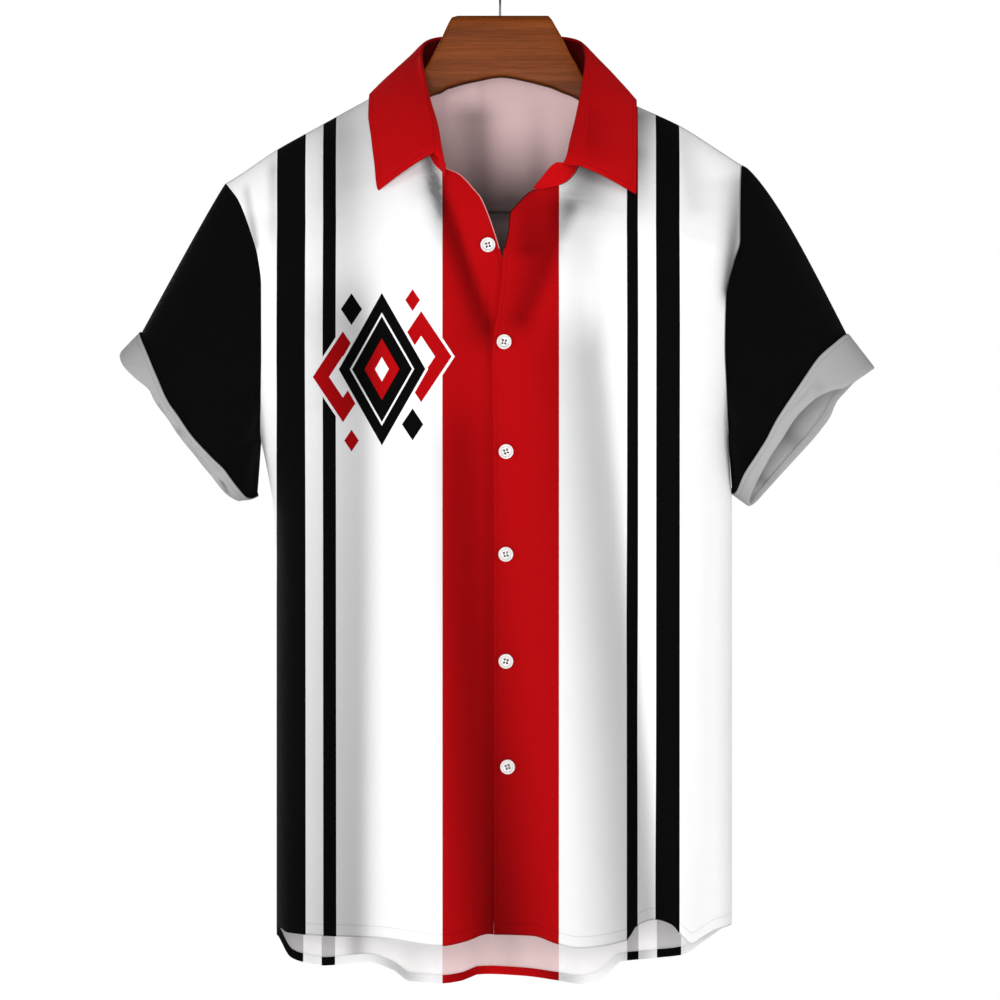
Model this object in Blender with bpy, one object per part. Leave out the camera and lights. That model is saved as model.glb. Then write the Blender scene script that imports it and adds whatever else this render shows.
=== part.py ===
"""A short-sleeved bowling shirt on a wooden hanger, one solid for each piece that is cut and sewn.

The shirt faces -Y and +Z is up. The origin is the inside top of the hanger's hook, and sizes are in
millimetres. Heights are given as "down": how far below the hook a point lies.
"""

import bmesh
import bpy
import numpy as np
from mathutils import Matrix, Vector

MM = 0.001

# Driving sizes
CLOTH = 1.2  # wall of the body and sleeves
COLLAR_CLOTH = 1.6  # the collar is made of two layers
SEAM = 0.3  # air at a seam
SQUARENESS = 2.3  # the body's sections are superellipses with this exponent
SIDE_ANGLE = 89.85  # degrees from the centre to a side seam
LAP = 2.6  # how far the under front lies behind the upper one
LAP_START, LAP_EASE = -32.0, 24.0  # where across the under front it starts to sink, and over what width
LAP_TOP, LAP_FADE = 225.0, 40.0  # the height near the foot of the V where it starts, and over what height
YOKE_DOWN = 223.0
NECK_LEFT_DOWN, NECK_RIGHT_DOWN = 117.0, 124.0  # where the neckline meets the shoulders
CUFF_LIFT = 1.7  # from the middle of a sleeve's wall to the middle of its turned-back cuff
BUTTON_RADIUS = 6.0
BUTTON_HEIGHT = 2.6
BUTTON_HOLE = 0.9
BUTTON_HOLE_RING = 1.75
WIRE = 2.0
HOOK_BEND = 21.0  # inner radius of the hook
WOOD_TOP = 64.7  # how far the top of the wood lies below the origin
SHARP_ANGLE = 50.0  # degrees between two faces from which their edge is drawn sharp


def table(columns, *rows):
    """Rows of numbers as one array for each named column."""
    return dict(zip(columns.split(), np.array(rows, float).T))


# The line of the shoulders. Between the two neck points it rises inside the neck, where no cloth is,
# and only steers how the cloth falls in front and behind.
RIDGE = table(
    "x down",
    (-262, 222),
    (-227, 203.5),
    (-217, 197.5),
    (-185, 176),
    (-150, 156.5),
    (-110, 134.5),
    (-76, NECK_LEFT_DOWN),
    (-66, 101),
    (-42, 73),
    (0, 53),
    (44, 76),
    (69, 108),
    (79, NECK_RIGHT_DOWN),
    (114, 140),
    (149, 156),
    (183, 177.5),
    (200, 188.5),
    (240, 212),
)
# How much of its full depth the body has at a distance below that line.
SWELL = table(
    "below share",
    (0, 0),
    (1.5, 0.06),
    (4, 0.11),
    (10, 0.2),
    (25, 0.36),
    (50, 0.56),
    (85, 0.78),
    (130, 0.93),
    (190, 1),
    (1000, 1),
)
# The armhole and side seam, and the half width that the section would have without the armhole.
LEFT_SIDE = table(
    "down x reach",
    (203.5, -227, 262),
    (218, -219.5, 261),
    (246, -210, 250),
    (266, -203.5, 238),
    (290, -199, 223),
    (340, -198.5, 216),
    (380, -199, 208),
    (403, -199, 202),
    (417, -198, 198),
    (440, -193, 193),
    (470, -188, 188),
    (520, -185, 185),
    (900, -185, 185),
)
RIGHT_SIDE = table(
    "down x reach",
    (188.5, 200, 232),
    (205, 200.5, 234),
    (235, 200.5, 232),
    (253, 200, 226),
    (270, 192.5, 214),
    (300, 185.5, 207),
    (340, 184.5, 202),
    (380, 186.5, 195.5),
    (403, 188, 191.3),
    (417, 189.5, 189.5),
    (450, 191, 191),
    (470, 192, 192),
    (900, 192, 192),
)
ARMPIT_DOWN = 417.0
DEPTH = table(
    "down front back",
    (100, 92, 86),
    (250, 95, 88),
    (350, 98, 90),
    (500, 95, 88),
    (700, 91, 85),
    (880, 88, 82),
)
# The fronts' inner edges: the neckline, then the open V, then straight down to the hem.
LEFT_OPENING = table(
    "down x",
    (NECK_LEFT_DOWN, -76),
    (128, -75),
    (148, -70),
    (170, -62),
    (193, -53),
    (197, -42),
    (200, -34.5),
    (205, -28.5),
    (214, -20.7),
    (219, -16.3),
    (231, -10.6),
    (248, -4.5),
    (267, 1.2),
    (290, 8),
    (320, 13),
    (350, 15),
    (900, 15),
)
RIGHT_OPENING = table(
    "down x",
    (NECK_RIGHT_DOWN, 79),
    (136, 78.5),
    (158, 74),
    (180, 68),
    (197, 62),
    (206, 55),
    (210, 48),
    (212.5, 37.5),
    (214, 27.3),
    (219.5, 18.7),
    (233, 7.7),
    (248, 6.5),
    (268, 2.4),
    (284.5, 1.6),
    (314.5, -2),
    (327.6, -4.5),
    (354, -6.5),
    (412, -5.7),
    (500, -5),
    (900, -5),
)
BACK_NECK = table(
    "x down",
    (-76, NECK_LEFT_DOWN),
    (-68, 114.5),
    (-48, 112),
    (0, 110),
    (50, 113),
    (69, 119),
    (79, NECK_RIGHT_DOWN),
)
FRONT_HEM = table(
    "x down",
    (-186, 825),
    (-182, 819),
    (-175, 822),
    (-94, 824),
    (-47, 829),
    (-27, 825),
    (-10, 819.5),
    (-5, 820),
    (27, 821),
    (47, 827.5),
    (65, 831),
    (103, 826),
    (112, 814),
    (128, 809.5),
    (141, 813.5),
    (150, 824),
    (157, 830),
    (165, 826),
    (177, 820),
    (193, 817),
)
BACK_HEM = table(
    "x down",
    (-186, 825),
    (-175, 848),
    (-165, 853),
    (-146, 857),
    (-112, 855),
    (-90, 861.5),
    (-76, 871.5),
    (-49, 874),
    (-31, 871),
    (-19, 866.5),
    (14, 867.5),
    (49, 871),
    (68, 874),
    (84, 870),
    (95, 860.5),
    (101, 855),
    (152, 848),
    (170, 836),
    (193, 817),
)
# Soft hollows that run down the cloth, and raised waves where the depth is negative.
FOLD_COLUMNS = "top_x top low_x low top_width low_width top_depth low_depth"
FRONT_FOLDS = table(
    FOLD_COLUMNS,
    (-128, 205, -106, 900, 8, 17, 3, 9),
    (-150, 330, -146, 900, 10, 20, 0, -4),
    (62, 322, 106, 900, 7, 20, 5, 13),
    (44, 330, 66, 900, 10, 22, 0, -4),
    (130, 420, 143, 900, 12, 20, 0, -5),
    (174, 470, 172, 900, 7, 10, 2, 4),
    (-46, 214, -15, 304, 7, 7, 3, 4),
    (46, 262, 17, 312, 7, 7, 3, 4),
    (-64, 196, -47, 246, 6, 6, 4, 2),
    (118, 160, 128, 214, 7, 6, 3, 2),
)
BACK_FOLDS = table(
    FOLD_COLUMNS,
    (-104, 240, -84, 900, 9, 19, 3, 10),
    (-36, 130, -30, 900, 9, 17, 2, 8),
    (-12, 250, -4, 900, 10, 14, 0, -4),
    (40, 236, 54, 900, 9, 18, 3, 9),
    (112, 240, 118, 900, 9, 17, 4, 10),
    (150, 420, 150, 900, 9, 12, 0, 4),
)
FOLD_FADE = 26.0  # how far a long fold runs out past its end; a short one takes a share of its length
FOLD_FADE_SHARE = 0.15

# The collar, station by station round the neck from the left end of the stand to the right end. The
# stand climbs from the neck seam to the roll and turns over to the crease, where the fall is sewn on.
COLLAR = table(
    "seam_x seam_down roll_x roll_y roll_down crease_x crease_y crease_down edge_x edge_down",
    (-44, 196.5, -44.3, -90, 196, -44, -92, 193, 0, 0),
    (-53, 193, -46, -92, 186, -53, -96, 184.5, -99, 213.5),
    (-62, 170, -50, -76, 161, -55, -79, 160, -103, 190),
    (-70, 148, -56.5, -52, 138, -60, -55, 137, -106, 168),
    (-75, 128, -61, -28, 118, -63.5, -30, 117.5, -108.5, 148),
    (-76, 117, -64, 1, 98, -66, 1, 97.5, -108, 130.5),
    (-68, 114.5, -62.5, 18, 87, -64.5, 19.5, 87, -97, 138),
    (-48, 112, -50, 36, 79.5, -51.5, 38.5, 79.5, -62, 143),
    (0, 110, 0, 49, 76, 0, 52, 77, 0, 143),
    (50, 113, 54, 36, 79.5, 55.5, 38.5, 79.5, 64, 143),
    (69, 119, 68.5, 18, 86, 70, 19.5, 87, 100, 141),
    (79, 124, 70, 1, 99, 73.5, 1, 100, 114.5, 135),
    (78.5, 136, 67.5, -22, 120, 74, -25, 122, 116, 151),
    (74, 158, 62.5, -50, 148, 72.5, -55, 152, 115.5, 173),
    (68, 180, 57, -74, 172, 69.5, -80, 178, 114.5, 196),
    (62, 197, 53.5, -88, 187, 63, -91, 194.5, 111, 216.5),
    (47.5, 210.2, 47, -90, 198, 47, -92, 192, 0, 0),
    (27.5, 213.5, 27.3, -93, 210, 27.5, -94.5, 206, 0, 0),
)
LEFT_NECK_STATION, RIGHT_NECK_STATION = 5, 11
FALL_LIFT, FALL_CLEAR = 3.6, 2.6  # how far the fall's middle layer stays above the shoulders and body
EDGE_LIFT = 6.0  # the same for its free edge, above the shoulders
FIRST_FALL_STATION, LAST_FALL_STATION = 1, 15
FALL_SHARES = (0, 0.08, 0.2, 0.4, 0.6, 0.8, 1)  # the fall's rows, from its crease to its edge
COLLAR_BULGE = table("station rise", (1, 2), (4, 3), (6, 4), (8, 6), (10, 4), (12, 3), (15, 2))

# A sleeve's rings below the armhole, from the top of the arm to the underarm. A bulge moves the
# middle of that side away from the shoulder, and a negative one towards it.
RING_COLUMNS = "top_x top_down low_x low_down front_bulge back_bulge depth"
LEFT_RINGS = table(
    RING_COLUMNS,
    (-297, 328, -202, 462, 15.5, -6, 42),
    (-315, 346, -217, 466, 3.5, 4, 38),
)
RIGHT_RINGS = table(
    RING_COLUMNS,
    (288, 330, 194.5, 460, -9.5, -12, 44),
    (309.5, 357.5, 207.5, 470, -19, 4.6, 42),
)
SLEEVE_ROUND = {"left": 1.0, "right": 7.0}  # how far the top of each sleeve stands off a straight line
SLEEVE_FULLNESS = 0.12  # how much deeper a sleeve is halfway down than at its seam
BUTTONS = table("x down", (-9.8, 259), (3.3, 338), (4.9, 427), (4.9, 510.5), (4.9, 597.5), (6.5, 683.5))

# The hanger: the height of its top and bottom edges along its raised middle, and its two arms, whose
# tops follow the shoulders. The arms' columns give the distance from the middle.
HANGER_MIDDLE = table(
    "x top bottom",
    (-76, 119.2, 142),
    (-68, 113.5, 137.5),
    (-61, 106.2, 133.5),
    (-55.6, 97, 131),
    (-49, 84.7, 129),
    (-43.5, 72.5, 126),
    (-41.5, 68, 125),
    (-38, WOOD_TOP, 124),
    (-20, WOOD_TOP, 119.5),
    (1, WOOD_TOP, 116),
    (22, WOOD_TOP, 119.5),
    (39.5, WOOD_TOP, 124),
    (43, 68, 125),
    (45.5, 72.5, 126),
    (52.5, 84.7, 129),
    (58, 96, 131),
    (64, 106.2, 134),
    (69, 115, 139),
    (75, 123.5, 145),
)
HANGER_ARM = table(
    "x height half",
    (84, 24, 7),
    (96, 25, 7),
    (120, 26, 7),
    (145, 26, 7),
    (170, 25, 6.6),
    (184, 22, 5.8),
    (192, 18, 4.6),
    (196, 12, 2.8),
)
HANGER_HALF = 7.0
HANGER_SIDES = 12
HANGER_SQUARENESS = 0.62  # 1 for an oval section, towards 0 for a square one
ARM_CLEARANCE = 1.4
# The wire from its foot on the wood to the start of the bend.
HOOK_FOOT = table("y down", (0, WOOD_TOP - SEAM), (0, 56), (0.8, 50.5), (4.5, 46.5), (10, 43.2))
HOOK_START, HOOK_STOP = -52.0, 196.0  # degrees round the bend


def smooth(at, places, values):
    """A smooth curve through the points (places, values) that never swings past them."""
    steps = np.diff(places)
    slopes = np.diff(values) / steps
    before, after = slopes[:-1], slopes[1:]
    turning = before * after <= 0
    total = np.where(turning, 1.0, before + after)
    middle = np.where(turning, 0.0, 2 * before * after / total)
    tangents = np.concatenate([slopes[:1], middle, slopes[-1:]])
    at = np.clip(at, places[0], places[-1])
    k = np.clip(np.searchsorted(places, at, side="right") - 1, 0, len(steps) - 1)
    f = (at - places[k]) / steps[k]
    start = values[k] * (1 + 2 * f) * (1 - f) ** 2 + tangents[k] * steps[k] * f * (1 - f) ** 2
    end = values[k + 1] * (3 - 2 * f) * f**2 - tangents[k + 1] * steps[k] * f**2 * (1 - f)
    return start + end


def curve(columns, key, value):
    """A table's column as a smooth function of another of its columns."""
    return lambda at: smooth(np.asarray(at, float), columns[key], columns[value])


ridge = curve(RIDGE, "x", "down")
swell = curve(SWELL, "below", "share")
left_x = curve(LEFT_SIDE, "down", "x")
right_x = curve(RIGHT_SIDE, "down", "x")
left_reach = curve(LEFT_SIDE, "down", "reach")
right_reach = curve(RIGHT_SIDE, "down", "reach")
left_opening = curve(LEFT_OPENING, "down", "x")
right_opening = curve(RIGHT_OPENING, "down", "x")
back_neck = curve(BACK_NECK, "x", "down")
front_hem = curve(FRONT_HEM, "x", "down")
back_hem = curve(BACK_HEM, "x", "down")


# The body's form -----------------------------------------------------------------------------


def fold_depth(x, down, folds):
    """How far the folds push the cloth inwards."""
    depth = np.zeros(np.broadcast(x, down).shape)
    for row in range(len(folds["top"])):
        fold = {name: column[row] for name, column in folds.items()}
        length = fold["low"] - fold["top"]
        along = (down - fold["top"]) / length
        inside = np.clip(along, 0, 1)
        past = np.abs(along - inside) * length
        across = x - fold["top_x"] - (fold["low_x"] - fold["top_x"]) * inside
        width = fold["top_width"] + (fold["low_width"] - fold["top_width"]) * inside
        deep = fold["top_depth"] + (fold["low_depth"] - fold["top_depth"]) * inside
        fade = min(FOLD_FADE, FOLD_FADE_SHARE * length)
        depth += deep * np.exp(-((past / fade) ** 2) - (across / width) ** 2)
    return depth


def reach_at(x, down):
    return np.where(np.asarray(x) < 0, left_reach(down), right_reach(down))


def angle_at(x, down):
    """The angle round the section at which the cloth is x from the middle."""
    share = np.clip(np.abs(x) / reach_at(x, down), 0, 1)
    limit = np.radians(SIDE_ANGLE)
    return np.sign(x) * np.minimum(np.arcsin(share ** (SQUARENESS / 2)), limit)


def x_at(angle, down):
    return np.sign(angle) * reach_at(angle, down) * np.abs(np.sin(angle)) ** (2 / SQUARENESS)


def depth_at(x, down, face, lift=0.0):
    """The body's distance from the plane of the shoulders. lift raises the shoulder line."""
    share = np.clip(np.abs(x) / reach_at(x, down), 0, np.sin(np.radians(SIDE_ANGLE)) ** (2 / SQUARENESS))
    round_share = (1 - share**SQUARENESS) ** (1 / SQUARENESS)
    full = smooth(down, DEPTH["down"], DEPTH[face])
    folds = FRONT_FOLDS if face == "front" else BACK_FOLDS
    below = np.maximum(down - ridge(x) + lift, 0)
    rise = swell(below)
    return round_share * rise * (full - fold_depth(x, down, folds) * np.clip(2 * round_share, 0, 1))


def body_point(x, down, face):
    side = -1 if face == "front" else 1
    x, down = np.broadcast_arrays(np.asarray(x, float), np.asarray(down, float))
    return np.stack([x, side * depth_at(x, down, face), -down], axis=-1)


def settle(edge, limit, start):
    """The height at which an edge, given by its x at a height, meets a limit given by height at x."""
    down = start
    for _ in range(30):
        down = float(limit(edge(down)))
    return down


def panel(face, first, last, top, hem, starts, ends, across, along):
    """The grid of points of a body piece, from its first edge to its last and from top to hem.

    first and last give the x of those edges at a height, top and hem the height of theirs at an x.
    starts and ends are rough heights of the corners. across and along run from 0 to 1.
    """
    first_top, last_top = settle(first, top, starts[0]), settle(last, top, starts[1])
    first_low, last_low = settle(first, hem, ends[0]), settle(last, hem, ends[1])
    first_down = first_top + (first_low - first_top) * along
    last_down = last_top + (last_low - last_top) * along
    first_angle = angle_at(first(first_down), first_down)[:, None]
    last_angle = angle_at(last(last_down), last_down)[:, None]
    angle = first_angle + (last_angle - first_angle) * across
    upper = np.linspace(first_top, last_top, len(across))
    lower = np.linspace(first_low, last_low, len(across))
    for _ in range(30):
        upper = top(x_at(angle[0], upper))
        lower = hem(x_at(angle[-1], lower))
    down = upper + (lower - upper) * along[:, None]
    return body_point(x_at(angle, down), down, face)


# Walls and nodes -----------------------------------------------------------------------------


def grid_normals(points, closed=False):
    """The unit normal at each point of a grid, from its neighbours."""
    if closed:
        along_rows = np.roll(points, -1, axis=1) - np.roll(points, 1, axis=1)
    else:
        along_rows = np.gradient(points, axis=1)
    down_columns = np.gradient(points, axis=0)
    normals = np.cross(along_rows, down_columns)
    return normals / np.linalg.norm(normals, axis=-1, keepdims=True)


def wall(points, thickness, closed=False, outward=1):
    """A grid's outer and inner faces as one closed mesh. The grid is its middle layer.

    outward is 1 where the normals of the grid's rows and columns point out of the garment.
    """
    normals = grid_normals(points, closed) * outward
    rows, columns = points.shape[:2]
    outer = (points + normals * thickness / 2).reshape(-1, 3)
    inner = (points - normals * thickness / 2).reshape(-1, 3)
    shift = rows * columns
    faces = []

    def add(a, b, c, d):
        faces.append((a, b, c, d) if outward > 0 else (d, c, b, a))

    spans = columns if closed else columns - 1
    for r in range(rows - 1):
        for c in range(spans):
            n = (c + 1) % columns
            here, right = r * columns + c, r * columns + n
            below, corner = here + columns, right + columns
            add(here, right, corner, below)
            add(shift + here, shift + below, shift + corner, shift + right)
    for c in range(spans):
        n = (c + 1) % columns
        add(c, shift + c, shift + n, n)
        last = (rows - 1) * columns
        add(last + c, last + n, shift + last + n, shift + last + c)
    if not closed:
        for r in range(rows - 1):
            first, below = r * columns, (r + 1) * columns
            add(first, below, shift + below, shift + first)
            end, end_below = first + columns - 1, below + columns - 1
            add(end, shift + end, shift + end_below, end_below)
    return np.concatenate([outer, inner]), faces


def add_node(name, points, faces, material):
    mesh = bpy.data.meshes.new(name)
    mesh.from_pydata((np.asarray(points) * MM).tolist(), [], faces)
    mesh.materials.append(material)
    mesh.validate()
    form = bmesh.new()
    form.from_mesh(mesh)
    bmesh.ops.recalc_face_normals(form, faces=form.faces)
    form.to_mesh(mesh)
    form.free()
    mesh.shade_smooth()
    mesh.set_sharp_from_angle(angle=np.radians(SHARP_ANGLE))
    node = bpy.data.objects.new(name, mesh)
    bpy.context.scene.collection.objects.link(node)
    return node


def finish(name, colour, roughness, metallic=0.0):
    material = bpy.data.materials.new(name)
    material.use_nodes = True
    shader = material.node_tree.nodes["Principled BSDF"]
    shader.inputs["Base Color"].default_value = (*colour, 1)
    shader.inputs["Roughness"].default_value = roughness
    shader.inputs["Metallic"].default_value = metallic
    return material


# Body pieces ---------------------------------------------------------------------------------


def rows_from(heights, first_down, last_down):
    """Row places from 0 to 1 that put the first edge's points at the given heights."""
    return (np.array([h for h in heights if first_down < h < last_down]) - first_down) / (
        last_down - first_down
    )


FRONT_COLUMNS = 17
HEM_CORNER = 820.0  # about where the hem meets the side seams and the fronts' edges


def sunk(points):
    """Points of the under front, moved back where the upper one laps over it."""
    across = np.clip((points[..., 0] - LAP_START) / LAP_EASE, 0, 1)
    below = np.clip((-points[..., 2] - LAP_TOP) / LAP_FADE, 0, 1)
    back = LAP * across**2 * (3 - 2 * across) * below
    return points + back[..., None] * np.array([0, 1, 0])


def front_rows(opening, seam_down, hem_down):
    """Rows that round the shoulder, then through the neckline and V, then even ones to the hem."""
    shaped = [seam_down + 1.5, seam_down + 4.5, *opening["down"][1:-1]]
    even = list(np.arange(shaped[-1] + 26, hem_down - 14, 28))
    inner = rows_from(shaped + even, seam_down, hem_down)
    return np.concatenate([[0], inner, [1]])


def make_front(side, material):
    """One front, from its opening to its armhole and side seam. The right one laps over the left."""
    left = side == "left"
    opening = LEFT_OPENING if left else RIGHT_OPENING
    along = front_rows(opening, opening["down"][0] + SEAM, HEM_CORNER)
    across = np.linspace(0, 1, FRONT_COLUMNS)
    points = panel(
        "front",
        left_opening if left else right_opening,
        left_x if left else right_x,
        lambda x: ridge(x) + SEAM,
        front_hem,
        (opening["down"][0], LEFT_SIDE["down"][0] if left else RIGHT_SIDE["down"][0]),
        (HEM_CORNER, HEM_CORNER),
        across,
        along,
    )
    if left:
        points = sunk(points)
    return add_node(f"front_{side}", *wall(points, CLOTH, outward=-1 if left else 1), material)


def make_back(material):
    across = np.linspace(0, 1, 25)
    along = np.linspace(0, 1, 20)
    points = panel(
        "back",
        left_x,
        right_x,
        lambda x: YOKE_DOWN + 2 * SEAM + 0 * np.asarray(x),
        back_hem,
        (YOKE_DOWN, YOKE_DOWN),
        (HEM_CORNER, HEM_CORNER),
        across,
        along,
    )
    return add_node("back", *wall(points, CLOTH, outward=-1), material)


def yoke_top(x):
    """The shoulder seams, and between them the neckline at the back."""
    inside = (x > BACK_NECK["x"][0]) & (x < BACK_NECK["x"][-1])
    return np.where(inside, back_neck(x), ridge(x)) + SEAM


def make_yoke(material):
    corners = [(LEFT_SIDE["x"][0], LEFT_SIDE["down"][0]), (RIGHT_SIDE["x"][0], RIGHT_SIDE["down"][0])]
    first, last = (angle_at(x, down) for x, down in corners)
    necks = [(BACK_NECK["x"][end], BACK_NECK["down"][end]) for end in (0, -1)]
    stops = [first, *(angle_at(x, down) for x, down in necks), last]
    runs = [np.linspace(a, b, n, endpoint=False) for a, b, n in zip(stops, stops[1:], (7, 10, 6))]
    across = (np.concatenate([*runs, [last]]) - first) / (last - first)
    points = panel(
        "back",
        left_x,
        right_x,
        yoke_top,
        lambda x: YOKE_DOWN - SEAM + 0 * np.asarray(x),
        (LEFT_SIDE["down"][0], RIGHT_SIDE["down"][0]),
        (YOKE_DOWN, YOKE_DOWN),
        across,
        np.array([0, 0.013, 0.04, 0.1, 0.25, 0.5, 0.75, 1]),
    )
    return add_node("yoke", *wall(points, CLOTH, outward=-1), material)


# Sleeves -------------------------------------------------------------------------------------

SLEEVE_SIDES = 28


def armhole_ring(side):
    """The armhole seam from the top of the shoulder down the front and up the back."""
    edge, form = (left_x, LEFT_SIDE) if side == "left" else (right_x, RIGHT_SIDE)
    top = form["down"][0] + SEAM
    turn = np.linspace(0, 2 * np.pi, SLEEVE_SIDES, endpoint=False)
    down = (top + ARMPIT_DOWN) / 2 - (ARMPIT_DOWN - top) / 2 * np.cos(turn)
    x = edge(down)
    front, back = depth_at(x, down, "front"), depth_at(x, down, "back")
    return np.stack([x, np.where(turn <= np.pi, -front, back), -down], axis=-1)


def oval_ring(ring):
    """A flattened ring from the top of the arm to the underarm."""
    turn = np.linspace(0, 2 * np.pi, SLEEVE_SIDES, endpoint=False)
    top = np.array([ring["top_x"], 0, -ring["top_down"]])
    low = np.array([ring["low_x"], 0, -ring["low_down"]])
    axis = top - low
    away = np.array([axis[2], 0, -axis[0]]) / np.linalg.norm(axis)
    away *= np.sign(away[0] * ring["top_x"])
    bulge = np.where(turn <= np.pi, ring["front_bulge"], ring["back_bulge"]) * np.sin(turn) ** 2
    middle = (top + low) / 2 + 0.5 * axis * np.cos(turn)[:, None]
    depth = np.array([0, -1, 0]) * ring["depth"] * np.sin(turn)[:, None]
    return middle + depth + away * bulge[:, None]


def sleeve_rings(side, rows):
    """The sleeve's rings from the armhole to the fold of its cuff."""
    rings = LEFT_RINGS if side == "left" else RIGHT_RINGS
    start = armhole_ring(side)
    cuff_top, fold = (oval_ring({n: c[k] for n, c in rings.items()}) for k in (0, 1))
    out = -1 if side == "left" else 1
    turn = np.linspace(0, 2 * np.pi, SLEEVE_SIDES, endpoint=False)[:, None]
    upper = np.clip(np.cos(turn), 0, 1)
    away = np.array([out * 0.85, 0, 0.53])  # square to the top of the arm
    points = []
    for share in np.linspace(0, 1, rows):
        ring = start + (cuff_top - start) * share
        ring[:, 1] *= 1 + SLEEVE_FULLNESS * np.sin(np.pi * share)
        ring += away * upper * SLEEVE_ROUND[side] * np.sin(np.pi * share**0.6)
        ring[:, 0] += out * 4 * SEAM * (1 - share)
        points.append(ring)
    for share in (1 / 3, 2 / 3, 1):
        points.append(cuff_top + (fold - cuff_top) * share)
    return np.array(points)


def make_sleeve(side, cloth, reverse):
    rows = 7
    points = sleeve_rings(side, rows)
    outward = -1 if side == "left" else 1
    add_node(f"sleeve_{side}", *wall(points, CLOTH, closed=True, outward=outward), cloth)
    normals = grid_normals(points, closed=True) * outward
    cuff = (points + normals * CUFF_LIFT)[rows - 1 :]
    add_node(f"cuff_{side}", *wall(cuff, CLOTH, closed=True, outward=outward), reverse)


# Collar --------------------------------------------------------------------------------------


def collar_column(name, stations):
    return smooth(stations, np.arange(len(COLLAR[name]), dtype=float), COLLAR[name])


def neck_seam(stations):
    """The neck seam's points on the body's form."""
    x, down = collar_column("seam_x", stations), collar_column("seam_down", stations)
    back = (stations > LEFT_NECK_STATION) & (stations < RIGHT_NECK_STATION)
    x = np.where(stations <= LEFT_NECK_STATION, left_opening(down), x)
    x = np.where(stations >= RIGHT_NECK_STATION, right_opening(down), x)
    down = np.where(back, back_neck(x), down)
    y = np.where(back, depth_at(x, down, "back"), -depth_at(x, down, "front"))
    return np.stack([x, y, -down], axis=-1)


def collar_line(name, stations):
    """The roll or the crease of the collar."""
    x, y, down = (collar_column(f"{name}_{axis}", stations) for axis in ("x", "y", "down"))
    return np.stack([x, y, -down], axis=-1)


def make_stand(material):
    stations = np.linspace(0, 17, 35)
    seam, roll, crease = neck_seam(stations), collar_line("roll", stations), collar_line("crease", stations)
    rise = roll - seam
    length = np.linalg.norm(rise, axis=-1, keepdims=True)
    start = seam + rise / length * (COLLAR_CLOTH / 2 + 2 * SEAM)
    points = np.array([start, start + (roll - start) * 0.5, roll, crease])
    return add_node("collar_stand", *wall(points, COLLAR_CLOTH, outward=1), material)


def make_fall(material):
    """The leaf of the collar, from the crease over the shoulders to its free edge and points."""
    stations = np.linspace(FIRST_FALL_STATION, LAST_FALL_STATION, 29)
    crease = collar_line("crease", stations)
    roll = collar_line("roll", stations)
    edge_x, edge_down = collar_column("edge_x", stations), collar_column("edge_down", stations)
    back = (stations > LEFT_NECK_STATION) & (stations < RIGHT_NECK_STATION)
    edge_y = np.where(
        back,
        depth_at(edge_x, edge_down, "back", EDGE_LIFT),
        -depth_at(edge_x, edge_down, "front", EDGE_LIFT),
    )
    edge = np.stack([edge_x, edge_y, -edge_down], axis=-1)
    turned = crease - roll
    turned /= np.linalg.norm(turned, axis=-1, keepdims=True)
    start = crease + turned * (COLLAR_CLOTH + 2 * SEAM)
    chord = edge - start
    along = chord / np.linalg.norm(chord, axis=-1, keepdims=True)
    outward = start * [1, 1, 0] - [0, -10, 0]
    outward /= np.linalg.norm(outward, axis=-1, keepdims=True)
    outward[:, 2] = 0.8
    outward -= along * (outward * along).sum(-1, keepdims=True)
    outward /= np.linalg.norm(outward, axis=-1, keepdims=True)
    bulge = smooth(stations, COLLAR_BULGE["station"], COLLAR_BULGE["rise"])[:, None]
    rows = []
    for share in FALL_SHARES:
        row = start + chord * share + outward * bulge * np.sin(np.pi * share**0.75)
        down = -row[:, 2]
        for sign, face in ((-1, "front"), (1, "back")):
            clear = depth_at(row[:, 0], down, face, FALL_LIFT) + FALL_CLEAR
            on_side = (row[:, 1] * sign > 0) & (down > ridge(row[:, 0]) - FALL_LIFT)
            row[:, 1] = np.where(on_side, sign * np.maximum(sign * row[:, 1], clear), row[:, 1])
        rows.append(row)
    return add_node("collar_fall", *wall(np.array(rows), COLLAR_CLOTH, outward=-1), material)


# Buttons -------------------------------------------------------------------------------------

BUTTON_SIDES = 16
BUTTON_PROFILE = table(
    "radius height",
    (4.3, 1.7),
    (4.9, BUTTON_HEIGHT),
    (5.5, BUTTON_HEIGHT),
    (BUTTON_RADIUS, 1.9),
    (BUTTON_RADIUS, 1.1),
    (4.9, 0),
)


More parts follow.
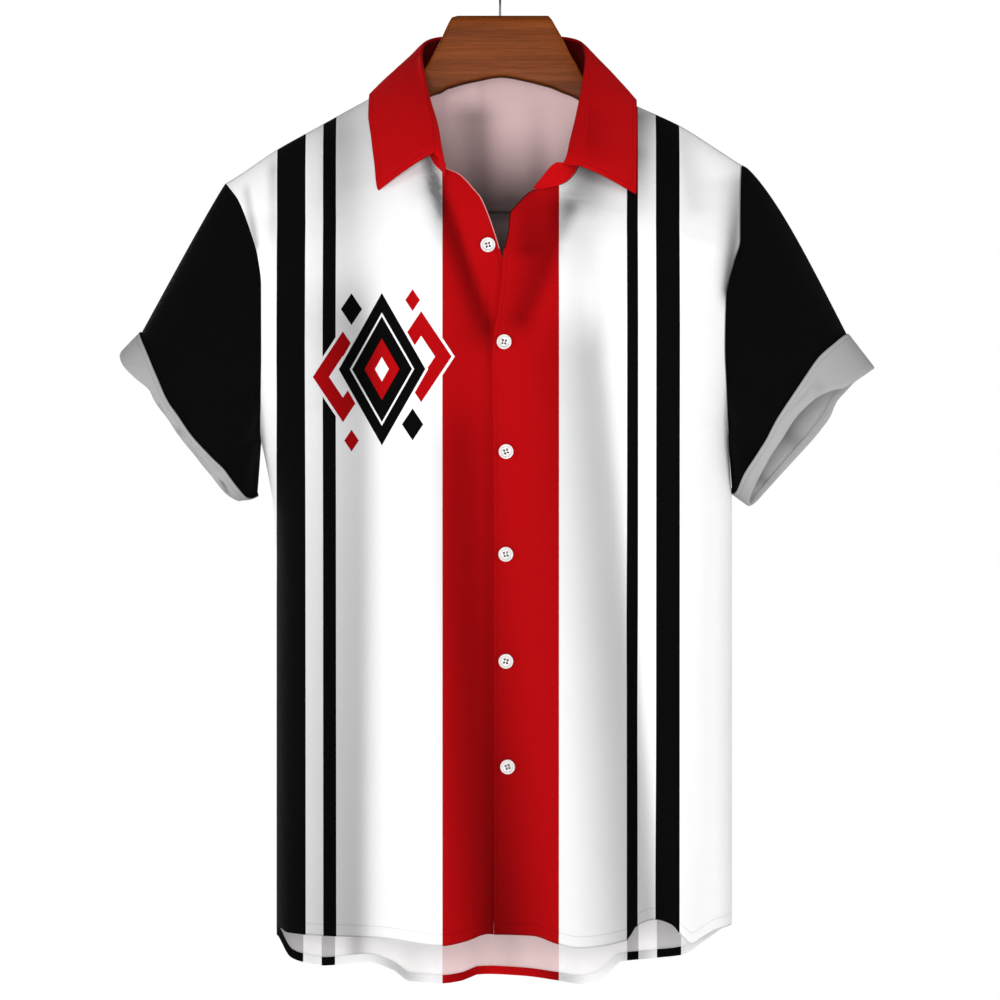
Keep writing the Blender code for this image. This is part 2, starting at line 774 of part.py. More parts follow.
def button_mesh(material):
    """A button with a raised rim and four holes, its back on the plane z = 0."""
    turn = np.linspace(0, 2 * np.pi, BUTTON_SIDES, endpoint=False)
    rings = [
        np.stack([r * np.cos(turn), r * np.sin(turn), np.full_like(turn, h)], axis=-1)
        for r, h in zip(BUTTON_PROFILE["radius"], BUTTON_PROFILE["height"])
    ]
    count = len(rings)
    faces = [tuple(range(BUTTON_SIDES))]
    for ring in range(count - 1):
        for side in range(BUTTON_SIDES):
            a, b = ring * BUTTON_SIDES + side, ring * BUTTON_SIDES + (side + 1) % BUTTON_SIDES
            faces.append((a, a + BUTTON_SIDES, b + BUTTON_SIDES, b))
    faces.append(tuple(range((count - 1) * BUTTON_SIDES, count * BUTTON_SIDES))[::-1])
    blank = add_node("button_blank", np.concatenate(rings), faces, material)
    drills = []
    for quarter in range(4):
        turned = np.radians(45 + 90 * quarter)
        bpy.ops.mesh.primitive_cylinder_add(
            vertices=8,
            radius=BUTTON_HOLE * MM,
            depth=4 * BUTTON_HEIGHT * MM,
            location=(
                BUTTON_HOLE_RING * np.cos(turned) * MM,
                BUTTON_HOLE_RING * np.sin(turned) * MM,
                0,
            ),
        )
        drills.append(bpy.context.active_object)
        cut = blank.modifiers.new(f"hole_{quarter}", "BOOLEAN")
        cut.operation = "DIFFERENCE"
        cut.object = drills[-1]
    graph = bpy.context.evaluated_depsgraph_get()
    mesh = bpy.data.meshes.new_from_object(blank.evaluated_get(graph))
    for helper in (blank, *drills):
        bpy.data.objects.remove(helper)
    mesh.name = "button"
    return mesh


def make_buttons(material):
    mesh = button_mesh(material)
    for number, (x, down) in enumerate(zip(BUTTONS["x"], BUTTONS["down"]), 1):
        around = np.linspace(0, 2 * np.pi, 12, endpoint=False)
        across = np.concatenate([[x, x + 1, x], x + BUTTON_RADIUS * np.cos(around)])
        lower = np.concatenate([[down, down, down + 1], down + BUTTON_RADIUS * np.sin(around)])
        under = body_point(across, lower, "front")
        if x < right_opening(down):
            under = sunk(under)
        centre, right, below = under[:3]
        normal = np.cross(right - centre, below - centre)
        normal /= np.linalg.norm(normal)
        if normal[1] > 0:
            normal = -normal
        highest = max(0.0, float(((under - centre) @ normal).max()))
        seat = centre + normal * (highest + CLOTH / 2 + 2 * SEAM)
        button = bpy.data.objects.new(f"button_{number}", mesh)
        turn = Vector((0, 0, 1)).rotation_difference(Vector(normal)).to_matrix().to_4x4()
        button.matrix_world = Matrix.Translation(Vector(seat * MM)) @ turn
        bpy.context.scene.collection.objects.link(button)


# Hanger --------------------------------------------------------------------------------------


def hanger_sections():
    """x, top, bottom and half thickness along the wood, from the left arm's end to the right one's."""
    middle = [HANGER_MIDDLE[name] for name in ("x", "top", "bottom")]
    middle.append(np.full(len(middle[0]), HANGER_HALF))
    arms = []
    for side in (-1, 1):
        x = side * HANGER_ARM["x"]
        top = ridge(x) + CLOTH / 2 + ARM_CLEARANCE
        arms.append(np.stack([x, top, top + HANGER_ARM["height"], HANGER_ARM["half"]], axis=-1))
    return np.concatenate([arms[0][::-1], np.stack(middle, axis=-1), arms[1]])


def make_hanger(material):
    """Rounded sections across the wood, joined from end to end."""
    turn = np.linspace(0, 2 * np.pi, HANGER_SIDES, endpoint=False)
    outline = np.stack([np.cos(turn), np.sin(turn)], axis=-1).round(12)
    outline = np.sign(outline) * np.abs(outline) ** HANGER_SQUARENESS
    rings = []
    for x, top, bottom, half in hanger_sections():
        height = (bottom - top) / 2
        places = [np.full(HANGER_SIDES, x), half * outline[:, 0], height * outline[:, 1] - (top + bottom) / 2]
        rings.append(np.stack(places, axis=-1))
    count = len(rings)
    faces = [tuple(range(HANGER_SIDES)), tuple(range((count - 1) * HANGER_SIDES, count * HANGER_SIDES))[::-1]]
    for ring in range(count - 1):
        for side in range(HANGER_SIDES):
            a, b = ring * HANGER_SIDES + side, ring * HANGER_SIDES + (side + 1) % HANGER_SIDES
            faces.append((a, a + HANGER_SIDES, b + HANGER_SIDES, b))
    return add_node("hanger_bar", np.concatenate(rings), faces, material)


def make_hook(material):
    """The wire hook, seen edge on from the front, with the origin under its bend."""
    radius = HOOK_BEND + WIRE / 2
    route = list(zip(HOOK_FOOT["y"], -HOOK_FOOT["down"]))
    for turn in np.radians(np.linspace(HOOK_START, HOOK_STOP, 16)):
        route.append((radius * np.cos(turn), radius * np.sin(turn) - HOOK_BEND))
    wire = bpy.data.curves.new("hanger_hook", "CURVE")
    wire.dimensions = "3D"
    wire.bevel_depth = WIRE / 2 * MM
    wire.bevel_resolution = 2
    wire.use_fill_caps = True
    line = wire.splines.new("POLY")
    line.points.add(len(route) - 1)
    for point, (y, z) in zip(line.points, route):
        point.co = (0, y * MM, z * MM, 1)
    wire.materials.append(material)
    hook = bpy.data.objects.new("hanger_hook", wire)
    bpy.context.scene.collection.objects.link(hook)
    return hook


def main():
    for item in list(bpy.data.objects):
        bpy.data.objects.remove(item)
    white = finish("white_cloth", (0.86, 0.86, 0.86), 0.8)
    black = finish("black_cloth", (0.012, 0.012, 0.013), 0.8)
    red = finish("red_cloth", (0.55, 0.005, 0.008), 0.75)
    reverse = finish("cloth_reverse", (0.5, 0.5, 0.5), 0.85)
    pearl = finish("button_white", (0.85, 0.83, 0.8), 0.3)
    wood = finish("varnished_wood", (0.28, 0.08, 0.03), 0.35)
    steel = finish("hook_steel", (0.6, 0.6, 0.6), 0.25, metallic=1.0)
    for side in ("left", "right"):
        make_front(side, white)
        make_sleeve(side, black, reverse)
    make_back(white)
    make_yoke(white)
    make_stand(red)
    make_fall(red)
    make_buttons(pearl)
    make_hanger(wood)
    make_hook(steel)


main()
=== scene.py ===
# %% [markdown]
# # A bowling shirt on a wooden hanger
#
# A short-sleeved shirt hangs, buttoned up, on a shaped wooden hanger. Its body is white cloth printed
# with upright stripes, its sleeves are black with turned-back cuffs, and its collar is red. The hard
# sizes come from a fixed frame: one solid for each piece that is cut and sewn. This lesson hangs thin
# cloth on those solids and gives each piece its weave, print, stitches and shine.

import bmesh
import bpy
import numpy as np
from mathutils import Matrix, Vector


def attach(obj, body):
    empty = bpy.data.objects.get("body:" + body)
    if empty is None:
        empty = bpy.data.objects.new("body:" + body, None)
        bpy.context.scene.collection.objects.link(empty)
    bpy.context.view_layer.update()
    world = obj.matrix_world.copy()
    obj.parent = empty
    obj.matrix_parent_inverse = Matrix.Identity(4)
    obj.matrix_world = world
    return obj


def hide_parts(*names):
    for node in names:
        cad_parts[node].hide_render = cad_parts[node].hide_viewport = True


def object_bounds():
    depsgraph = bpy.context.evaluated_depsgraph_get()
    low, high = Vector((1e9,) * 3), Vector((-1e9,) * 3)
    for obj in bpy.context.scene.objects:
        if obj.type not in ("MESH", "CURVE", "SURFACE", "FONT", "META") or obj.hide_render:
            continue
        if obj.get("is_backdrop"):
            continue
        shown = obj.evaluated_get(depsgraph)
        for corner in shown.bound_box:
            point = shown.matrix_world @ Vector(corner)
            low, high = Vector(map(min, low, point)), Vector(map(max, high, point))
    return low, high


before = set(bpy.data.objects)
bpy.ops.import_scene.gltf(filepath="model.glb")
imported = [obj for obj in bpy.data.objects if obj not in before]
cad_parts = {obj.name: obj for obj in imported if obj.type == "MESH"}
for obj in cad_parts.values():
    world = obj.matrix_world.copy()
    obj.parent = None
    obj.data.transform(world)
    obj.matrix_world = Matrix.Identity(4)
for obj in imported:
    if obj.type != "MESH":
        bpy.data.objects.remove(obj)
CAD_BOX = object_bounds()
MM = 0.001
print("solids in the frame:", len(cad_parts))

# %% [markdown]
# ## The form that the cloth follows
#
# Every panel of the shirt lies on one smooth form, so that neighbours meet at their seams. The form is
# given by a few short tables: the line of the shoulders, how far the cloth stands out below it, the side
# seams and the long soft folds. A draped simulation could give the folds too, but it would move the
# outline, which is the one thing that has to hold. Listing each fold keeps both. Heights are
# "down", the distance below the inside of the hook, and all sizes are millimetres until the mesh is made.

# %% Tables as smooth curves
def table(columns, *rows):
    """Rows of numbers as one array for each named column."""
    return dict(zip(columns.split(), np.array(rows, float).T))


def rows_of(columns):
    """A table's rows again, each with its numbers by name."""
    return [dict(zip(columns, row)) for row in zip(*columns.values())]


def smooth(at, places, values):
    """A smooth curve through the points (places, values) that never swings past them."""
    steps = np.diff(places)
    slopes = np.diff(values) / steps
    before, after = slopes[:-1], slopes[1:]
    turning = before * after <= 0
    total = np.where(turning, 1.0, before + after)
    middle = np.where(turning, 0.0, 2 * before * after / total)
    tangents = np.concatenate([slopes[:1], middle, slopes[-1:]])
    at = np.clip(at, places[0], places[-1])
    k = np.clip(np.searchsorted(places, at, side="right") - 1, 0, len(steps) - 1)
    f = (at - places[k]) / steps[k]
    start = values[k] * (1 + 2 * f) * (1 - f) ** 2 + tangents[k] * steps[k] * f * (1 - f) ** 2
    end = values[k + 1] * (3 - 2 * f) * f**2 - tangents[k + 1] * steps[k] * f**2 * (1 - f)
    return start + end


def curve(columns, name):
    """A table's column as a smooth function of its first column."""
    places = next(iter(columns.values()))
    return lambda at: smooth(np.asarray(at, float), places, columns[name])


hill = curve(table("at height", (0, 0), (1, 1), (2, 0)), "height")
print("a smooth hill of height 1 is", round(float(hill(0.5)), 3), "high halfway up")

# %% The shoulder line, side seams and openings
# Neighbours at a seam lie this far apart.
SEAM = 0.3
# A section of the body is a squarish oval. It stops just short of a quarter turn at the side seam.
SQUARENESS, SIDE_ANGLE = 2.3, 89.85
YOKE_DOWN = 223.0
NECK_LEFT_DOWN, NECK_RIGHT_DOWN = 117.0, 124.0
ARMPIT_DOWN = 417.0
HEM_CORNER = 820.0
# The under front lies this much further back, from a line beside the opening and from a height on.
LAP = 2.6
LAP_START, LAP_EASE = -32.0, 24.0
LAP_TOP, LAP_FADE = 225.0, 40.0

# The ridge is the shoulder line, carried on over the neck, and the cloth swells out below it.
RIDGE = table(
    "x down", (-262, 222), (-227, 203.5), (-217, 197.5), (-185, 176), (-150, 156.5), (-110, 134.5),
    (-76, NECK_LEFT_DOWN), (-66, 101), (-42, 73), (0, 53), (44, 76), (69, 108), (79, NECK_RIGHT_DOWN),
    (114, 140), (149, 156), (183, 177.5), (200, 188.5), (240, 212),
)
SWELL = table(
    "below share", (0, 0), (1.5, 0.06), (4, 0.11), (10, 0.2), (25, 0.36), (50, 0.56), (85, 0.78),
    (130, 0.93), (190, 1), (1000, 1),
)
# x is where the side seam is, and reach is half the width of the oval that the section follows.
LEFT_SIDE = table(
    "down x reach", (203.5, -227, 262), (218, -216.5, 261), (246, -205, 250), (266, -199, 238),
    (290, -196, 223), (340, -195.8, 216), (380, -196.5, 208), (403, -197.5, 202), (417, -198, 198),
    (440, -193, 193), (470, -188, 188), (520, -185, 185), (900, -185, 185),
)
RIGHT_SIDE = table(
    "down x reach", (188.5, 200, 232), (205, 198.8, 234), (235, 197.8, 232), (253, 197.4, 226),
    (270, 192.5, 214), (300, 185.5, 207), (340, 184.5, 202), (380, 186.5, 195.5), (403, 188, 191.3),
    (417, 189.5, 189.5), (450, 191, 191), (470, 192, 192), (900, 192, 192),
)
DEPTH = table(
    "down front back", (100, 92, 86), (250, 95, 88), (350, 98, 90), (500, 95, 88), (700, 91, 85),
    (880, 88, 82),
)
LEFT_OPENING = table(
    "down x", (NECK_LEFT_DOWN, -76), (128, -75), (148, -70), (170, -62), (193, -53), (197, -42),
    (200, -34.5), (205, -28.5), (214, -20.7), (219, -16.3), (231, -10.6), (248, -4.5), (267, 1.2),
    (290, 8), (320, 13), (350, 15), (900, 15),
)
RIGHT_OPENING = table(
    "down x", (NECK_RIGHT_DOWN, 79), (136, 78.5), (158, 74), (180, 68), (197, 62), (206, 55), (210, 48),
    (212.5, 37.5), (214, 27.3), (219.5, 19.6), (223.8, 15.7),
    (228.4, 11.5), (233, 7.9), (248, 6.5), (268, 2.4), (284.5, 1.6),
    (314.5, -2), (327.6, -4.5), (354, -6.5), (412, -5.7), (500, -5), (900, -5),
)
BACK_NECK = table(
    "x down", (-76, NECK_LEFT_DOWN), (-68, 114.5), (-48, 112), (0, 110), (50, 113), (69, 119),
    (79, NECK_RIGHT_DOWN),
)
FRONT_HEM = table(
    "x down", (-186, 825), (-182, 819), (-175, 822), (-94, 824), (-47, 829), (-27, 825), (-10, 819.5),
    (-5, 820), (27, 821), (47, 827.5), (65, 831), (103, 826), (112, 814), (128, 809.5), (141, 813.5),
    (150, 824), (157, 830), (165, 826), (177, 820), (193, 817),
)
BACK_HEM = table(
    "x down", (-186, 825), (-175, 848), (-165, 853), (-146, 857), (-112, 855), (-90, 861.5),
    (-76, 871.5), (-49, 874), (-31, 871), (-19, 866.5), (14, 867.5), (49, 871), (68, 874), (84, 870),
    (95, 860.5), (101, 855), (152, 848), (170, 836), (193, 817),
)
ridge, back_neck, front_hem, back_hem = (
    curve(line, "down") for line in (RIDGE, BACK_NECK, FRONT_HEM, BACK_HEM)
)
left_opening, right_opening, left_x, right_x = (
    curve(line, "x") for line in (LEFT_OPENING, RIGHT_OPENING, LEFT_SIDE, RIGHT_SIDE)
)
left_reach, right_reach = curve(LEFT_SIDE, "reach"), curve(RIGHT_SIDE, "reach")
swell = curve(SWELL, "share")
full_depth = {face: curve(DEPTH, face) for face in ("front", "back")}
SIDES = {
    "left": (left_opening, LEFT_OPENING, left_x, LEFT_SIDE),
    "right": (right_opening, RIGHT_OPENING, right_x, RIGHT_SIDE),
}
print("shoulder to hem:", HEM_CORNER - NECK_LEFT_DOWN, "mm")

# %% [markdown]
# ## Folds
#
# Cloth that hangs from two shoulders falls in long soft folds that widen towards the hem, and it drags
# in short ones from a button, an armhole or the collar. Each row of these tables is one fold: where its
# bottom line starts and ends, how wide its left and right slopes are at both ends, and how deep it is. A
# negative depth is a raised wave. One slope is nearly always steeper than the other, and that is what
# makes a fold look like cloth and not like a corrugated sheet.
#
# Less light gets down into a fold. Lamps alone would hardly show that on bright cloth, so a second set of
# tables, with the same columns, paints that shade into the cloth's colour: it says how much darker each
# fold is. A row with a negative depth paints light instead, making the cloth brighter at the shoulders and
# beside the left sleeve. The shade could be painted by hand on a picture of the cloth, but a few rows of
# numbers are easier to move with the folds they belong to.

# %% The long folds and the small creases
FOLD_COLUMNS = "top_x top low_x low top_left top_right low_left low_right top_depth low_depth"
FRONT_FOLDS = table(
    FOLD_COLUMNS,
    (-113, 205, -106, 900, 14, 14, 42, 22, 3, 11),
    (72, 322, 136, 900, 9, 6, 40, 11, 4, 14),
    (-6, 400, 32, 900, 20, 8, 34, 12, 0, 5),
    (174, 470, 172, 900, 7, 7, 10, 10, 2, 4),
    (-46, 214, -15, 304, 9, 6, 9, 6, 3, 4),
    (46, 262, 17, 312, 6, 9, 6, 9, 3, 4),
    (-64, 196, -47, 246, 8, 5, 7, 4, 4, 2),
    (118, 160, 128, 214, 7, 7, 6, 6, 3, 2),
)
FRONT_CREASES = table(
    FOLD_COLUMNS,
    (-150, 430, -146, 900, 10, 12, 12, 12, -0.5, -2),
    (84, 335, 128, 900, 12, 5, 26, 9, 1.5, 3),
    (-28, 430, 12, 900, 18, 12, 24, 12, 0.5, 6),
    (-108, 178, -102, 330, 22, 8, 24, 9, 2.5, 1),
    (-204, 216, -199, 262, 3, 4, 3, 5, 1.6, 1.2),
    (-188, 204, -183, 246, 3, 5, 4, 5, 1.4, 0.6),
    (-186, 470, -160, 540, 6, 8, 8, 9, 1.2, 0.8),
    (188, 206, 181, 292, 4, 7, 5, 5, 3.4, 3.0),
    (150, 300, 156, 520, 9, 7, 9, 8, 0.8, 1.4),
    (58, 470, 62, 830, 6, 8, 8, 9, -0.8, -1.6),
    (158, 640, 166, 850, 7, 8, 9, 9, 0.8, 1.8),
)
BACK_FOLDS = table(
    FOLD_COLUMNS,
    (-104, 240, -84, 900, 9, 9, 19, 15, 3, 10),
    (-36, 130, -30, 900, 9, 9, 17, 14, 2, 8),
    (-12, 250, -4, 900, 10, 10, 14, 14, 0, -4),
    (40, 236, 54, 900, 9, 9, 18, 14, 3, 9),
    (112, 240, 118, 900, 9, 9, 17, 14, 4, 10),
    (150, 420, 150, 900, 9, 9, 12, 12, 0, 4),
)
BACK_CREASES = table(
    FOLD_COLUMNS,
    (-19, 118, -17, 232, 8, 6, 9, 6, 5, 5),
    (33, 118, 35, 232, 7, 8, 7, 9, 3, 3),
    (-150, 262, -140, 420, 7, 6, 9, 8, 2.2, 1.0),
    (152, 256, 146, 430, 6, 7, 8, 9, 2.2, 1.0),
    (-66, 240, -60, 520, 8, 9, 10, 11, 1.4, 1.2),
    (80, 236, 84, 560, 9, 8, 11, 10, 1.4, 1.4),
    (8, 300, 16, 640, 9, 9, 12, 12, 1.0, 1.0),
)
FORMS = {"front": (FRONT_FOLDS, FRONT_CREASES), "back": (BACK_FOLDS, BACK_CREASES)}
FOLD_FADE, FOLD_FADE_SHARE = 26.0, 0.15


def fold_depth(x, down, folds, longest_fade=FOLD_FADE):
    """How far the folds push the cloth inwards. Past its ends a fold fades away."""
    depth = np.zeros(np.broadcast(x, down).shape)
    for fold in rows_of(folds):
        length = fold["low"] - fold["top"]
        along = (down - fold["top"]) / length
        inside = np.clip(along, 0, 1)
        middle, left, right, deep = (
            fold[f"top_{part}"] + (fold[f"low_{part}"] - fold[f"top_{part}"]) * inside
            for part in ("x", "left", "right", "depth")
        )
        past = np.abs(along - inside) * length / min(longest_fade, FOLD_FADE_SHARE * length)
        across = (x - middle) / np.where(x < middle, left, right)
        depth += deep * np.exp(-(past**2) - across**2)
    return depth


print("folds on the front:", sum(len(rows_of(folds)) for folds in FORMS["front"]))

# %% The shade painted into the folds
FRONT_SHADES = table(
    FOLD_COLUMNS,
    (-115, 330, -120, 900, 40, 14, 54, 15, 0.72, 1.0),
    (-132, 170, -120, 360, 16, 26, 34, 16, 0.7, 0.2),
    (76, 352, 130, 900, 38, 12, 50, 12, 0.72, 0.92),
    (-30, 430, 2, 900, 28, 24, 26, 36, 0.45, 1.1),
    (-8.5, 330, -7.5, 900, 4, 2, 4, 2, 0.26, 0.12),
    (-37, 340, -40, 900, 8, 18, 8, 18, 0.15, 0.15),
    (-49, 214, -11, 324, 15, 5, 13, 5, 1.0, 0.8),
    (55, 230, 18, 318, 24, 9, 16, 8, 0.8, 0.55),
    (22, 214, 22, 262, 14, 10, 14, 10, 0.35, 0.45),
    (-59, 184, -48, 232, 9, 7, 4, 3, 1.25, 0.5),
    (73, 184, 62, 242, 22, 31, 16, 26, 1.55, 0.35),
    (63, 256, 60, 320, 14, 22, 12, 18, 0.35, 0.05),
    (113, 150, 113, 222, 14, 17, 9, 10, 1.15, 0.3),
    (-209, 212, -200.5, 256, 4, 4, 4, 3, 0.55, 0.85),
    (-187, 196, -185, 272, 6, 4, 5, 4, 0.65, 0.1),
    (150, 170, 158, 224, 6, 14, 6, 12, 0.28, 0.2),
    (199, 206, 186.5, 292, 12, 8, 5, 8, 0.75, 1.5),
    # The last three rows paint light: brighter cloth at both shoulders and beside the left sleeve.
    (-206, 165, -200, 225, 22, 30, 22, 30, -0.3, -0.3),
    (-196, 270, -194, 470, 10, 14, 10, 12, -0.25, -0.25),
    (150, 150, 182, 196, 26, 26, 26, 26, -0.2, -0.2),
)
INSIDE_SHADES = table(
    FOLD_COLUMNS,
    (-21, 146, -15, 236, 20, 16, 10, 14, 0.95, 0.2),
    (34, 140, 35, 200, 10, 8, 12, 9, 0.1, 0.4),
    (2, 150, 4, 300, 70, 70, 70, 70, 0.0, 1.8),
    (14, 165, 12, 222, 26, 26, 24, 24, 0.05, 0.72),
    (-121, 780, -121, 900, 8, 8, 8, 8, 0.6, 0.7),
    (8, 780, 8, 900, 12, 12, 12, 12, 0.2, 0.25),
)
COLLAR_SHADES = table(FOLD_COLUMNS, (72.5, 150, 70.5, 186, 1.6, 14, 1.6, 18, 0.16, 0.26))
# The shade painted into the cloth's colour: its strength, its limit, and a floor below zero that lets rows
# with a negative depth paint light.
SHADE_STRENGTH, SHADE_LIMIT, SHADE_FLOOR = 0.62, 0.84, -0.13
SHADE_FADE = 40.0
SEAM_REACH = 1.3
SHADES = {
    # face of the cloth: painted shades, their longest fade and strength, how dark the yoke seam's painted
    # shadow is
    "front": (FRONT_SHADES, SHADE_FADE, 1.0, 0.0),
    "back": (BACK_FOLDS, FOLD_FADE, 0.07, 0.3),
    "inside": (INSIDE_SHADES, FOLD_FADE, 1.0, 0.65),
    "collar": (COLLAR_SHADES, FOLD_FADE, 1.0, 0.0),
}


def shade_at(x, down, face):
    """The painted shade: the share of light that the folds and the yoke's seam take away from a face of the
    cloth.
    """
    folds, longest_fade, strength, seam_strength = SHADES[face]
    shade = strength * fold_depth(x, down, folds, longest_fade)
    kept = 1 - np.clip(SHADE_STRENGTH * shade, SHADE_FLOOR, SHADE_LIMIT)
    seam = seam_strength * np.exp(-(((down - YOKE_DOWN) / SEAM_REACH) ** 2))
    return 1 - kept * (1 - seam)


print("light lost beside the opening:", round(float(shade_at(-8.0, 500.0, "front")), 2))

# %% A point on the form
def reach_at(x, down):
    """Half the width of the section, on the side where x is."""
    return np.where(np.asarray(x) < 0, left_reach(down), right_reach(down))


def angle_at(x, down):
    """The angle round the section at which the cloth is x from the middle."""
    share = np.clip(np.abs(x) / reach_at(x, down), 0, 1)
    return np.sign(x) * np.minimum(np.arcsin(share ** (SQUARENESS / 2)), np.radians(SIDE_ANGLE))


def x_at(angle, down):
    """How far from the middle the cloth is at an angle round the section."""
    return np.sign(angle) * reach_at(angle, down) * np.abs(np.sin(angle)) ** (2 / SQUARENESS)


def unevenness(x, down):
    """The slight waviness of cloth that hangs free, a millimetre or less."""
    slow = 0.45 * np.sin(x / 23 + 0.6) * np.sin(down / 61 + 0.9)
    quick = 0.22 * np.sin(x / 11 + down / 83) * np.sin(down / 37 + x / 71 + 2.1)
    return slow + quick


def depth_at(x, down, face, lift=0.0, creased=True):
    """The body's distance from the plane of the shoulders. lift raises the shoulder line."""
    limit = np.sin(np.radians(SIDE_ANGLE)) ** (2 / SQUARENESS)
    share = np.clip(np.abs(x) / reach_at(x, down), 0, limit)
    round_share = (1 - share**SQUARENESS) ** (1 / SQUARENESS)
    long_folds, creases = FORMS[face]
    folds = fold_depth(x, down, long_folds)
    if creased:
        folds = folds + fold_depth(x, down, creases) + unevenness(x, down)
    rise = swell(np.maximum(down - ridge(x) + lift, 0))
    return round_share * rise * (full_depth[face](down) - folds * np.clip(2 * round_share, 0, 1))


def body_point(x, down, face):
    """Points on the front or the back, as x, y and z in millimetres."""
    side = -1 if face == "front" else 1
    x, down = np.broadcast_arrays(np.asarray(x, float), np.asarray(down, float))
    return np.stack([x, side * depth_at(x, down, face), -down], axis=-1)


print("depth of the front at the middle:", round(float(depth_at(0.0, 500.0, "front")), 1), "mm")

# %% [markdown]
# ## From points to cloth
#
# A panel is a grid of points, cut to its real edges: the grid's rows bend with the neckline and the hem,
# and its columns with the opening and the armhole. Blender could cut a plane to shape with booleans, but
# a grid that follows the edges keeps its squares even, and even squares carry both the folds and the
# weave without kinks. The grid becomes one layer of faces, and a Solidify modifier gives the cloth its
# thickness, with the reverse of the print on the inner side.

# %% Panels of the body
SETTLING_ROUNDS = 30


def settle(edge, limit, start):
    """The height at which an edge, given by its x at a height, meets a limit given by height at x."""
    down = start
    for _ in range(SETTLING_ROUNDS):
        down = float(limit(edge(down)))
    return down


def panel(face, first, last, top, hem, starts, ends, across, along):
    """A body piece's grid, from its first edge to its last and from top to hem.

    first and last give the x of those edges at a height, top and hem the height of theirs at an x.
    starts and ends are rough heights of the corners. across and along run from 0 to 1.
    """
    first_top, last_top = settle(first, top, starts[0]), settle(last, top, starts[1])
    first_low, last_low = settle(first, hem, ends[0]), settle(last, hem, ends[1])
    first_down = first_top + (first_low - first_top) * along
    last_down = last_top + (last_low - last_top) * along
    first_angle = angle_at(first(first_down), first_down)[:, None]
    last_angle = angle_at(last(last_down), last_down)[:, None]
    angle = first_angle + (last_angle - first_angle) * across
    upper = np.linspace(first_top, last_top, len(across))
    lower = np.linspace(first_low, last_low, len(across))
    for _ in range(SETTLING_ROUNDS):
        upper = top(x_at(angle[0], upper))
        lower = hem(x_at(angle[-1], lower))
    down = upper + (lower - upper) * along[:, None]
    return body_point(x_at(angle, down), down, face)


def sunk(points):
    """Points of the under front, moved back where the upper one laps over it."""
    across = np.clip((points[..., 0] - LAP_START) / LAP_EASE, 0, 1)
    below = np.clip((-points[..., 2] - LAP_TOP) / LAP_FADE, 0, 1)
    back = LAP * across**2 * (3 - 2 * across) * below
    return points + back[..., None] * np.array([0, 1, 0])


# %% Distances and hems
def unit(vectors):
    """Vectors of length 1 with the same directions."""
    return vectors / np.linalg.norm(vectors, axis=-1, keepdims=True)


def grid_normals(points, closed=False):
    """The unit normal at each point of a grid, from its neighbours."""
    if closed:
        along_rows = np.roll(points, -1, axis=1) - np.roll(points, 1, axis=1)
    else:
        along_rows = np.gradient(points, axis=1)
    return unit(np.cross(along_rows, np.gradient(points, axis=0)))


def lengths(points, axis):
    """How far each point of a grid is along its column (axis 0) or its row (axis 1)."""
    steps = np.linalg.norm(np.diff(points, axis=axis), axis=-1)
    start = np.zeros_like(np.take(steps, [0], axis=axis))
    return np.concatenate([start, np.cumsum(steps, axis=axis)], axis=axis)


# The rows of a folded hem: two round its fold, as shares of the gap between its layers, and four up the
# inner layer, as shares of its width. The fold hangs lower than the cut edge by a share of the gap.
HEM_ROLL, HEM_LAYER, HEM_DROP = (0.15, 0.85), (0.0, 0.35, 0.7, 1.0), 0.3
HEM_ROWS = len(HEM_ROLL + HEM_LAYER)
HEM_GAP = 1.0


def turned_hem(points, outward, width):
    """The grid with its last edge folded up on the inside, as a hem is."""
    normals = grid_normals(points) * outward
    rise = lengths(points, 0)
    below = unit(points[-1] - points[-2])
    rows = [points[-1] + (below * HEM_DROP - normals[-1] * share) * HEM_GAP for share in HEM_ROLL]
    column = np.arange(points.shape[1])
    layer = points - normals * HEM_GAP
    for share in HEM_LAYER:
        target = rise[-1] - share * width
        above = np.array([np.searchsorted(rise[:, c], target[c]) for c in column])
        above = np.clip(above, 1, len(points) - 1)
        low, high = rise[above - 1, column], rise[above, column]
        part = np.clip((target - low) / (high - low), 0, 1)[:, None]
        rows.append(layer[above - 1, column] * (1 - part) + layer[above, column] * part)
    return np.concatenate([points, np.array(rows)])


# %% Helpers for pieces
def only(piece):
    """Makes one object the active and only selected one."""
    bpy.ops.object.select_all(action="DESELECT")
    piece.select_set(True)
    bpy.context.view_layer.objects.active = piece


def apply_all(piece):
    """Applies the modifiers of a piece, in order."""
    only(piece)
    for modifier in list(piece.modifiers):
        bpy.ops.object.modifier_apply(modifier=modifier.name)


def show(name, data):
    """Puts a new object with this mesh, light or camera into the scene."""
    made = bpy.data.objects.new(name, data)
    bpy.context.scene.collection.objects.link(made)
    return made


def coat(piece, *finishes):
    """Gives a piece its finishes, in order."""
    piece.data.materials.clear()
    for finish in finishes:
        piece.data.materials.append(finish)


def finish_piece(piece, nodes=(), angle=0.7):
    """Puts the object at the world's origin with its place in its mesh, and fixes it to the frame."""
    only(piece)
    bpy.ops.object.transform_apply(location=True, rotation=True, scale=True)
    bpy.ops.object.shade_smooth_by_angle(angle=angle)
    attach(piece, "root")
    if nodes:
        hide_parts(*nodes)
    return piece


# %% A grid made into cloth
CLOTH = 0.7
SHARP = np.radians(55)
# The steps in rows and columns from the first corner of a square to each of its four corners.
CORNERS = np.array([(0, 0), (0, 1), (1, 1), (1, 0)])


